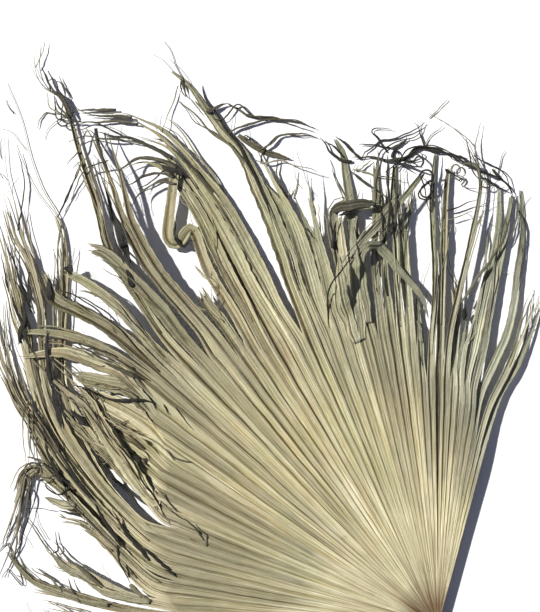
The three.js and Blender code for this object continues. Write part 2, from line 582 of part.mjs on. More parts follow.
// A solid skinned over closed sections of equal length, with flat ends.
function loft(sections) {
  const sides = sections[0].length;
  const points = sections.flat();
  const faces = [];
  for (let row = 0; row + 1 < sections.length; row++) {
    for (let k = 0; k < sides; k++) {
      const a = row * sides + k;
      const b = row * sides + ((k + 1) % sides);
      faces.push(a, b, b + sides, a, b + sides, a + sides);
    }
  }
  const last = (sections.length - 1) * sides;
  for (let k = 1; k + 1 < sides; k++) faces.push(0, k + 1, k, last, last + k, last + k + 1);
  return solidOf(new Float32Array(points.flatMap((p) => p.toArray())), new Uint32Array(faces));
}

// The stalk's section at y: flat below, round at the sides and slightly hollow above. It rises from its flat
// spot to the cut end.
function stalkSection(y) {
  const rib = smooth(y, RIB_START, RIB_END);
  const lift = STALK_LIFT * smooth(-y, -SPOT_START, -STALK_END);
  const width = lerp(STALK_WIDTH + FLARE * smooth(y, FLARE_START, 0), RIB_WIDTH, rib);
  const top = STALK_TOP + lift - RIB_DROP * rib;
  const bottom = lerp(lift, top - RIB_THICKNESS, rib);
  const tall = top - bottom;
  const outline = [
    [-0.3, 0], [0.3, 0], [0.45, 0.16], [0.5, 0.45], [0.46, 0.8], [0.38, 0.98], [0.2, 1], [0, 0.94],
    [-0.2, 1], [-0.38, 0.98], [-0.46, 0.8], [-0.5, 0.45], [-0.45, 0.16],
  ];
  return outline.map(([x, z]) => new THREE.Vector3(x * width, y, bottom + z * tall)).reverse();
}

function stalk() {
  const stations = [STALK_END, -120, -60, SPOT_START, RIB_START, 26, 48, 68, RIB_END];
  const body = loft(stations.map(stalkSection));
  return body.add(lip());
}

// The lip between stalk and pleats: a low round boss.
function lip() {
  const sides = 20;
  const rings = [[0.9, STALK_TOP - 4], [1, FAN_HEIGHT], [0.82, LIP_TOP - 0.8], [0.4, LIP_TOP]];
  return loft(rings.map(([share, z]) => Array.from({ length: sides }, (_, k) => {
    const angle = (2 * Math.PI * k) / sides;
    return new THREE.Vector3(share * LIP_RADIUS * Math.cos(angle), share * LIP_RADIUS * Math.sin(angle), z);
  })));
}

function meshOf(name, solid, color, roughness) {
  const { vertProperties, triVerts } = solid.getMesh();
  const geometry = new THREE.BufferGeometry();
  geometry.setAttribute("position", new THREE.BufferAttribute(vertProperties, 3));
  geometry.setIndex(new THREE.BufferAttribute(triVerts, 1));
  geometry.computeVertexNormals();
  const mesh = new THREE.Mesh(geometry, new THREE.MeshStandardMaterial({ color, roughness, metalness: 0 }));
  mesh.name = name;
  return mesh;
}

// The routes are laid out with the midline at its bearing; turning the blade brings it to +Y. Where crossing
// segments close a small hollow it is filled, by keeping the outer skin alone.
function blade() {
  const grown = SEGMENTS.filter(({ from }) => !CROSSING.has(from));
  const crossing = SEGMENTS.filter(({ from }) => CROSSING.has(from));
  const pieces = [fan(grown), ...crossing.map(crossingSegment), ...THREADS.map(thread)];
  const whole = wasm.Manifold.union(pieces).simplify(SMALLEST_STEP).rotate([0, 0, 90 - MIDLINE]);
  const [skin] = whole.decompose().sort((a, b) => b.volume() - a.volume());
  return meshOf("blade", skin, STRAW, 0.7);
}

function petiole() {
  return meshOf("petiole", stalk(), WOOD, 0.65);
}

const leaf = new THREE.Group();
leaf.add(blade(), petiole());

export default leaf;
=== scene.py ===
"""The looks of the dried palm leaf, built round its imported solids.

The blade is five sectors of pleats. Each is one closed sheet that runs from the hub out into its free
segments. Splinters and loose threads lie on top. The stalk is a fibrous body with a raised collar. Lengths
are in millimetres in the lie of the routes below, x to the right and y up with the hub at the origin. When
a piece is made they are turned to the leaf's own frame and go over to metres.
"""
import math

import bpy
import numpy as np
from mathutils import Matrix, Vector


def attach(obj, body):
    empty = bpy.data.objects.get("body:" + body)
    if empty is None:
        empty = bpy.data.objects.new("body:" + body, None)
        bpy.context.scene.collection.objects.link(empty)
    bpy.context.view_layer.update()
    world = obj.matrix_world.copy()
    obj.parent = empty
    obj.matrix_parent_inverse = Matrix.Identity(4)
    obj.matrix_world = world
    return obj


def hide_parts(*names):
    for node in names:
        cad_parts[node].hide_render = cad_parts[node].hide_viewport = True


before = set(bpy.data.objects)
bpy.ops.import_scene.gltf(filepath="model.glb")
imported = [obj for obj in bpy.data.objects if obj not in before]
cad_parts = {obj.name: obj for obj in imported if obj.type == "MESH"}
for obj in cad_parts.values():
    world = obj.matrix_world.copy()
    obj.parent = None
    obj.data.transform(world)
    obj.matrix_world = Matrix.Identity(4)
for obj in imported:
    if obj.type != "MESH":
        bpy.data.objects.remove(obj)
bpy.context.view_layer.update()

# The fan, with the sizes of its solid
PLEATS = 60
FAN_START = 75  # bearing of the first pleat's edge, in degrees, counter-clockwise
FAN_SPAN = 120
FAN_CROWDING = 0.15  # the first pleats are narrower than the mean by this share, and the last wider
MIDLINE = 135  # bearing of the leaf's midline in the lie of the routes
FAN_INNER = 11  # radius at which the pleats begin, inside the collar
FAN_HEIGHT = 17  # height of the pleats' middle over the surface
FAN_DIP = 7  # the upper left of the rim hangs lower than that by this much
DIP_RADII = (200, 480)  # where the dip begins and where it is full
DIP_PLEATS = (15, 22, 33, 41)  # it grows from the first pleat to the second and fades from the third on
WAVE_RADII = (90, 420)  # where the fan's slow waves begin and where they are full
WAVES = ((2.2, 0.31, 0.6, 0), (1.4, 0.13, 0, 1 / 130))  # height, pace by pleat, shift, pace by radius
FOLD_SHARE = 0.27  # half the depth of a fold, as a share of the pleat's width
FOLD_MOST = 4.2
FAN_FOLD = (0.62, 0.38)  # shares of that depth which the fan has, on the right and further round
FLATTER_PLEATS = (26, 38, 50, 56)  # it has the second share from the second of these to the third
SPLIT_SWAY = 14  # how far a split strays from the listed radius, in a wave along the rim
SPLIT_PACE = 2.4
VALLEY_REACH = 4  # a valley ends this far beyond the nearer of its edges

# The free segments, with the sizes of their solids
ROOT_SINK = 8  # length of a segment's root inside the fan
PEAK = 0.34  # share of its length at which a segment has its middle height, unless it has its own
PEAK_KEPT = 0.11  # it keeps that height for this share more
WIDE_AT = 0.35  # and has its free width from this share on
TURNED_AT = 0.7  # and its whole roll from this one
TIP_WIDTH = 1.6
TAPER = 3.4  # power of the share of its length with which a segment narrows
NECK = (0.1, 0.22, 0.42)  # a neck is narrowest between the first two shares and is gone at the third
FORK_EARLY = 0.45  # share of a segment's length where it forks, from the earliest to the latest
FORK_LATE = 0.8
PRONG_SPREAD = 16  # most that a prong's tip moves aside
PRONG_SHORTER = 0.88  # the shorter prong of two ends at this share of the free length
RIM_FADE = 45  # over this length a segment goes over from the rim's points to its own
TORN_FROM = 0.82  # from this share of the free length on a torn end is ragged
TORN_DEPTH = 17
LOWEST = 0.75  # heights between which the middle of every sheet stays
HIGHEST = 36.8

# Thickness of the sheets, and heights between which their faces stay
FAN_SHEET = 0.9
SHEET = 0.7
SPLINTER_SHEET = 0.5
THREAD_SHEET = 0.45
FACE_LOWEST = 0.2
FACE_HIGHEST = HIGHEST + 0.6

# Fineness of the surfaces
ACROSS = 16  # columns in a pleat
FAN_ROWS = 96
ROW_LENGTH = 6
SEGMENT_ROWS = (28, 130)  # fewest and most rows of a segment
SPAN_POINTS = 24  # points of a route in each span
STRAND_STEP = 4  # length between the rows of a strand
STALK_ROWS = 150
RING_SIDES = 120

# The pieces of the blade: name, first pleat, and the pleat after the last
SECTORS = [
    ("right", 0, 12), ("upper_right", 12, 25), ("middle", 25, 37), ("upper_left", 37, 48), ("left", 48, 60),
]

# Radius at which the fan splits: pleat number and millimetres
SPLITS = [
    (0, 235), (2, 290), (4, 330), (8, 370), (10, 375), (12, 440), (18, 460), (24, 480), (28, 508),
    (31, 528), (35, 560), (37, 515), (39, 470), (42, 465), (44, 425), (47, 405), (52, 400), (56, 350),
    (60, 280),
]

# The free segments, with the routes, heights and widths of their solids. Each grows out of `pleats` pleats,
# or one, from `pleat` on and follows `way`, points outwards. `wide` is its width where it is free. `mid` and
# `end` are its heights at the share `peak` of its length and at its tip. `roll` turns it about its own
# length, in degrees. One with a `tip` is torn off at that width. The others part into two prongs at the share
# `fork`, whose tips move aside by `spread` times the usual. A `neck` is the share of its width that it has
# near its root, and `taper` the power with which it narrows. `thin` is the share of its length from which it
# is a thread, and the thread's width. Beyond the share `bare` it has no splinters.
SEGMENTS = [
    # Right edge
    dict(pleat=0, wide=11, mid=12, end=0.5, roll=12, way=[(93, 347), (116, 384), (135, 429), (153, 489),
         (168, 537)]),
    dict(pleat=1, wide=11, mid=16, end=4, roll=-10, way=[(78, 332), (101, 377), (120, 422), (138, 474),
         (153, 504), (164, 526)]),
    dict(pleat=2, wide=13, tip=6, mid=9, end=1, roll=10, way=[(64, 345), (87, 396), (105, 438),
         (116, 486), (122, 534), (128, 579), (130, 616), (126, 654)]),
    dict(pleat=3, wide=12, tip=6, mid=12, end=5, roll=-12, way=[(54, 356), (68, 411), (76, 459),
         (86, 512), (98, 564), (106, 609), (112, 648)]),
    dict(pleat=4, wide=16, tip=5, mid=10, end=4, roll=12, way=[(44, 374), (56, 424), (63, 462), (72, 504),
         (84, 552), (92, 602), (94, 657)]),
    dict(pleat=5, wide=12, mid=17, end=9, roll=-15, way=[(35, 390), (43, 436), (49, 467), (58, 480)]),
    dict(pleat=6, wide=10, mid=12, end=3, roll=10, way=[(26, 408), (30, 489), (27, 549), (29, 577)]),
    dict(pleat=7, wide=9, mid=20, end=12, roll=10, way=[(15, 408), (20, 450), (32, 500), (42, 546),
         (51, 588), (60, 632), (63, 672), (44, 732)]),
    dict(pleat=8, wide=12, tip=6, mid=10, end=7, roll=-10, way=[(4, 426), (6, 489), (9, 564), (12, 632),
         (18, 688)]),
    dict(pleat=9, wide=10, tip=5, mid=12, end=4, roll=12, way=[(-9, 429), (-4, 489), (-4, 546), (-6, 594),
         (-8, 639), (-6, 669), (-2, 710)]),
    dict(pleat=10, wide=9, tip=5, mid=12, end=6, roll=0, way=[(-25, 430), (-28, 467), (-30, 492)]),
    # Upright segments of the middle
    dict(pleat=11, wide=15, mid=11, end=4, roll=-12, way=[(-42, 468), (-45, 504), (-50, 579), (-51, 639),
         (-52, 694)]),
    dict(pleat=12, wide=10, tip=6, mid=17, end=5, roll=20, way=[(-58, 476), (-62, 519), (-65, 594),
         (-67, 639), (-64, 694)]),
    dict(pleat=13, wide=11, mid=11, end=2, roll=-18, way=[(-73, 480), (-78, 519), (-80, 579), (-79, 639),
         (-78, 692)]),
    dict(pleat=14, wide=12, tip=7, mid=15, end=4, roll=15, way=[(-88, 480), (-93, 519), (-95, 579),
         (-91, 617), (-92, 654), (-94, 694)]),
    dict(pleat=15, wide=18, tip=5, mid=12, end=0.5, roll=-10, way=[(-117, 504), (-122, 564), (-130, 632),
         (-136, 676), (-142, 711), (-154, 732)]),
    dict(pleat=16, wide=15, tip=12, mid=16, end=22, roll=8, way=[(-136, 489), (-148, 546), (-155, 590),
         (-157, 614), (-154, 624), (-144, 629), (-118, 631), (-90, 632)]),
    dict(pleat=17, wide=14, tip=7, neck=0.45, mid=34, end=28, roll=20, way=[(-150, 476), (-150, 513),
         (-138, 546), (-117, 574), (-87, 606), (-63, 630), (-40, 657), (-22, 680)]),
    dict(pleat=18, wide=22, mid=11, end=26, roll=-15, way=[(-159, 489), (-164, 513), (-174, 549),
         (-184, 585), (-195, 620), (-202, 650), (-210, 687)]),
    dict(pleat=19, wide=24, mid=9, end=6, roll=-15, way=[(-180, 489), (-189, 522), (-201, 561),
         (-213, 597), (-230, 632), (-248, 662), (-264, 690), (-278, 714), (-292, 734)]),
    dict(pleat=20, pleats=2, wide=30, tip=3, taper=2, spread=0.5, mid=8, end=3, roll=10, way=[(-208, 495),
         (-218, 522), (-228, 558), (-242, 594), (-258, 632), (-272, 662), (-285, 692), (-298, 714),
         (-324, 744), (-350, 778), (-374, 812), (-400, 834)]),
    dict(pleat=22, wide=22, thin=(0.86, 4), spread=0.3, bare=0.75, mid=10, end=5, roll=10,
         way=[(-242, 484), (-260, 522), (-278, 555), (-300, 597), (-324, 636), (-366, 688), (-417, 741),
         (-447, 758), (-470, 768), (-514, 768), (-548, 774)]),
    # The broad group of the middle left, which parts near its end
    dict(pleat=23, pleats=2, wide=25, thin=(0.86, 7), spread=0.4, bare=0.75, mid=12, end=8, roll=-6,
         way=[(-264, 480), (-285, 516), (-303, 552), (-324, 591), (-351, 638), (-381, 684), (-408, 714),
         (-432, 726), (-462, 732), (-507, 746)]),
    dict(pleat=25, wide=22, spread=0.4, bare=0.7, mid=15, end=11, roll=10, way=[(-288, 477), (-310, 519),
         (-332, 564), (-351, 606), (-375, 646), (-402, 681), (-432, 699), (-462, 696), (-482, 684)]),
    dict(pleat=26, wide=17, tip=13, bare=0.45, mid=11, end=19, roll=-10, way=[(-304, 468), (-328, 506),
         (-348, 543), (-358, 570), (-364, 588), (-371, 597), (-379, 590), (-388, 577), (-398, 574),
         (-405, 584), (-404, 612), (-400, 645), (-394, 687)]),
    dict(pleat=27, wide=18, tip=12, mid=16, end=20, roll=20, way=[(-324, 458), (-342, 480), (-358, 506)]),
    dict(pleat=28, pleats=2, wide=26, mid=28, peak=0.55, end=5, roll=10, way=[(-352, 448), (-378, 478),
         (-404, 508), (-428, 540), (-447, 573), (-464, 609), (-477, 650), (-490, 687), (-502, 717),
         (-514, 744), (-526, 758), (-550, 756)]),
    dict(pleat=30, wide=21, tip=19, mid=20, peak=0.5, end=20, roll=-8, way=[(-387, 438), (-411, 470),
         (-438, 500), (-464, 526), (-484, 546), (-504, 561), (-526, 567)]),
    dict(pleat=31, wide=13, taper=2, thin=(0.9, 2.6), fork=0.8, spread=0.3, bare=0.66, mid=11, end=7,
         roll=30, way=[(-406, 428), (-437, 470), (-464, 512), (-485, 546), (-498, 572), (-507, 609),
         (-518, 647), (-525, 669), (-534, 699), (-543, 729), (-552, 762), (-567, 794), (-592, 809),
         (-603, 822), (-611, 849), (-611, 874)]),
    dict(pleat=32, wide=17, tip=12, mid=19, end=20, roll=-12, way=[(-428, 420), (-449, 444), (-468, 467),
         (-488, 486), (-508, 502), (-530, 517), (-558, 530)]),
    dict(pleat=33, wide=23, tip=15, mid=15, end=18, roll=8, way=[(-449, 408), (-480, 436), (-512, 458),
         (-546, 475), (-575, 490), (-596, 534)]),
    dict(pleat=34, wide=14, tip=7, mid=22, end=20, roll=15, way=[(-470, 397), (-500, 414), (-538, 430),
         (-582, 440), (-616, 441)]),
    dict(pleat=35, wide=22, tip=6, mid=20, end=21, roll=8, way=[(-452, 360), (-477, 382), (-507, 393),
         (-537, 404), (-564, 411), (-620, 404)]),
    dict(pleat=36, wide=24, tip=14, mid=15, end=18, roll=-8, way=[(-438, 330), (-465, 356), (-498, 364),
         (-528, 372), (-550, 376)]),
    # Left side, where the segments are matted
    dict(pleat=37, pleats=2, wide=40, tip=15, mid=12, end=12, roll=6, way=[(-432, 292), (-465, 315),
         (-496, 332), (-522, 344), (-540, 352)]),
    dict(pleat=39, wide=24, tip=12, mid=10, end=11, roll=-6, way=[(-438, 263), (-456, 278), (-489, 298),
         (-519, 320), (-540, 334)]),
    dict(pleat=40, wide=22, tip=10, mid=10, end=8, roll=8, way=[(-431, 235), (-453, 254), (-488, 278),
         (-513, 294), (-537, 308)]),
    dict(pleat=41, wide=22, tip=11, mid=8, end=9, roll=-8, way=[(-458, 232), (-489, 254), (-513, 267),
         (-534, 280)]),
    dict(pleat=42, wide=18, mid=10, end=13, roll=20, way=[(-417, 182), (-446, 207), (-482, 240),
         (-507, 266), (-531, 294), (-552, 324), (-572, 351), (-592, 374)]),
    dict(pleat=43, wide=26, mid=16, end=18, roll=-8, way=[(-408, 162), (-430, 190), (-450, 220),
         (-472, 251), (-493, 281), (-510, 310), (-524, 334), (-549, 357), (-584, 390), (-614, 424)]),
    dict(pleat=44, wide=14, thin=(0.71, 2.6), bare=0.66, mid=7, end=2, roll=15, way=[(-441, 153),
         (-469, 178), (-497, 210), (-520, 246), (-540, 286), (-555, 328), (-566, 372), (-566, 429),
         (-564, 504), (-562, 552), (-566, 597), (-578, 624), (-597, 654), (-614, 694), (-634, 759),
         (-660, 812)]),
    dict(pleat=45, wide=15, thin=(0.9, 3), bare=0.85, mid=14, end=5, roll=-15, way=[(-432, 140),
         (-465, 171), (-500, 208), (-532, 252), (-560, 294), (-579, 334), (-590, 376), (-594, 422),
         (-596, 470), (-612, 542), (-630, 590), (-642, 639), (-657, 681), (-666, 732)]),
    dict(pleat=46, wide=15, mid=8, end=6, roll=20, way=[(-429, 123), (-468, 156), (-506, 195),
         (-540, 237), (-570, 279), (-591, 321), (-606, 369), (-618, 429), (-639, 519), (-650, 579),
         (-666, 639)]),
    dict(pleat=47, wide=15, mid=15, end=3, roll=-15, way=[(-428, 105), (-468, 136), (-508, 177),
         (-544, 219), (-574, 261), (-600, 302), (-627, 339), (-650, 399), (-662, 452), (-669, 504),
         (-678, 556)]),
    dict(pleat=48, wide=15, mid=9, end=6, roll=20, way=[(-426, 88), (-465, 117), (-506, 154), (-543, 196),
         (-579, 237), (-600, 278), (-615, 316), (-636, 362), (-651, 396), (-657, 440)]),
    dict(pleat=49, wide=14, mid=16, end=0.5, roll=-10, way=[(-426, 69), (-462, 98), (-498, 135),
         (-537, 177), (-574, 213), (-603, 237), (-618, 228), (-627, 194), (-638, 152), (-650, 111),
         (-666, 76)]),
    dict(pleat=50, wide=14, mid=8, end=3, roll=15, way=[(-432, 54), (-465, 82), (-498, 122), (-531, 153),
         (-561, 166), (-588, 174)]),
    dict(pleat=51, wide=14, mid=14, end=4, roll=-20, way=[(-462, 44), (-507, 66), (-537, 84), (-564, 94),
         (-582, 112), (-589, 130)]),
    dict(pleat=52, wide=13, mid=9, end=1, roll=20, way=[(-462, 22), (-522, 36), (-567, 50), (-597, 59),
         (-620, 72), (-636, 91), (-646, 108)]),
    # Lowest segments on the left
    dict(pleat=53, wide=13, mid=14, end=5, roll=-15, way=[(-452, 0), (-515, 6), (-567, 17), (-614, 22)]),
    dict(pleat=54, wide=14, mid=10, end=2, roll=25, way=[(-450, -20), (-510, -21), (-570, -16),
         (-627, -8)]),
    dict(pleat=55, wide=14, mid=14, end=4, roll=-20, way=[(-445, -39), (-505, -48), (-560, -56),
         (-612, -56)]),
    dict(pleat=56, wide=13, mid=9, end=1, roll=20, way=[(-380, -48), (-425, -57), (-480, -72),
         (-534, -84), (-580, -101)]),
    dict(pleat=57, wide=13, mid=13, end=3, roll=-20, way=[(-360, -60), (-402, -72), (-446, -92),
         (-502, -119), (-544, -151)]),
    dict(pleat=58, wide=12, mid=9, end=1, roll=25, way=[(-328, -68), (-364, -82), (-410, -104),
         (-454, -134), (-492, -171)]),
    dict(pleat=59, wide=12, mid=12, end=0.5, roll=-20, way=[(-295, -73), (-326, -89), (-362, -114),
         (-399, -146), (-430, -188)]),
]

# The loose threads. Each leaves the line of segment `on` at the share `at` of its length, follows `way` and
# ends at the height `end`.
THREAD_WIDTH = 2.2  # unless a thread has its own
THREAD_THINNED = 0.85  # the share of its solid's width that it has
THREAD_DARK = 0.8
WIDE_THREAD_DARK = 0.3  # that of one with its own width
THREADS = [
    dict(on=31, at=0.86, end=8, way=[(-587, 820), (-596, 839)]),
    dict(on=31, at=0.84, end=5, way=[(-572, 812), (-578, 823), (-588, 817)]),
    dict(on=28, at=0.97, end=6, way=[(-572, 762), (-576, 800)]),
    dict(on=28, at=0.8, end=3, way=[(-530, 684), (-552, 640)]),
    dict(on=23, at=0.93, end=4, way=[(-520, 757), (-560, 748)]),
    dict(on=25, at=0.8, end=6, way=[(-424, 672), (-452, 655)]),
    dict(on=20, at=0.96, end=4, way=[(-386, 806), (-378, 794)]),
    dict(on=20, at=0.8, end=3, way=[(-322, 762), (-300, 784), (-276, 766), (-236, 758), (-186, 744)]),
    dict(on=19, at=0.96, end=2, way=[(-290, 738), (-262, 716), (-226, 702)]),
    dict(on=19, at=0.86, end=4, way=[(-262, 712), (-240, 736), (-186, 735)]),
    dict(on=15, at=0.12, wide=17, end=18, way=[(-114, 561), (-93, 572), (-75, 555), (-58, 534), (-40, 513),
         (-26, 496), (-15, 462)]),
    dict(on=15, at=0.9, end=6, way=[(-158, 722), (-174, 730)]),
    dict(on=14, at=0.96, end=5, way=[(-84, 714), (-58, 728), (-30, 738), (-20, 756)]),
    dict(on=12, at=0.97, end=6, way=[(-44, 716), (-4, 718), (46, 690), (94, 672), (112, 652)]),
    dict(on=13, at=0.96, end=10, way=[(-36, 712), (-10, 722), (44, 700)]),
    dict(on=7, at=0.93, end=7, way=[(84, 690), (104, 676), (110, 650)]),
    dict(on=7, at=0.98, end=9, wide=1.2, way=[(24, 748), (-12, 770)]),
    dict(on=17, at=0.97, end=22, way=[(-24, 664), (-14, 622)]),
    dict(on=44, at=0.72, end=12, way=[(-560, 640), (-534, 700)]),
    dict(on=45, at=0.8, end=6, way=[(-622, 668), (-632, 712)]),
    dict(on=49, at=0.7, end=2, way=[(-612, 190), (-626, 130), (-652, 70)]),
    dict(on=51, at=0.9, end=2, way=[(-572, 110), (-576, 140)]),
    dict(on=52, at=0.9, end=2, way=[(-624, 58), (-650, 84)]),
]

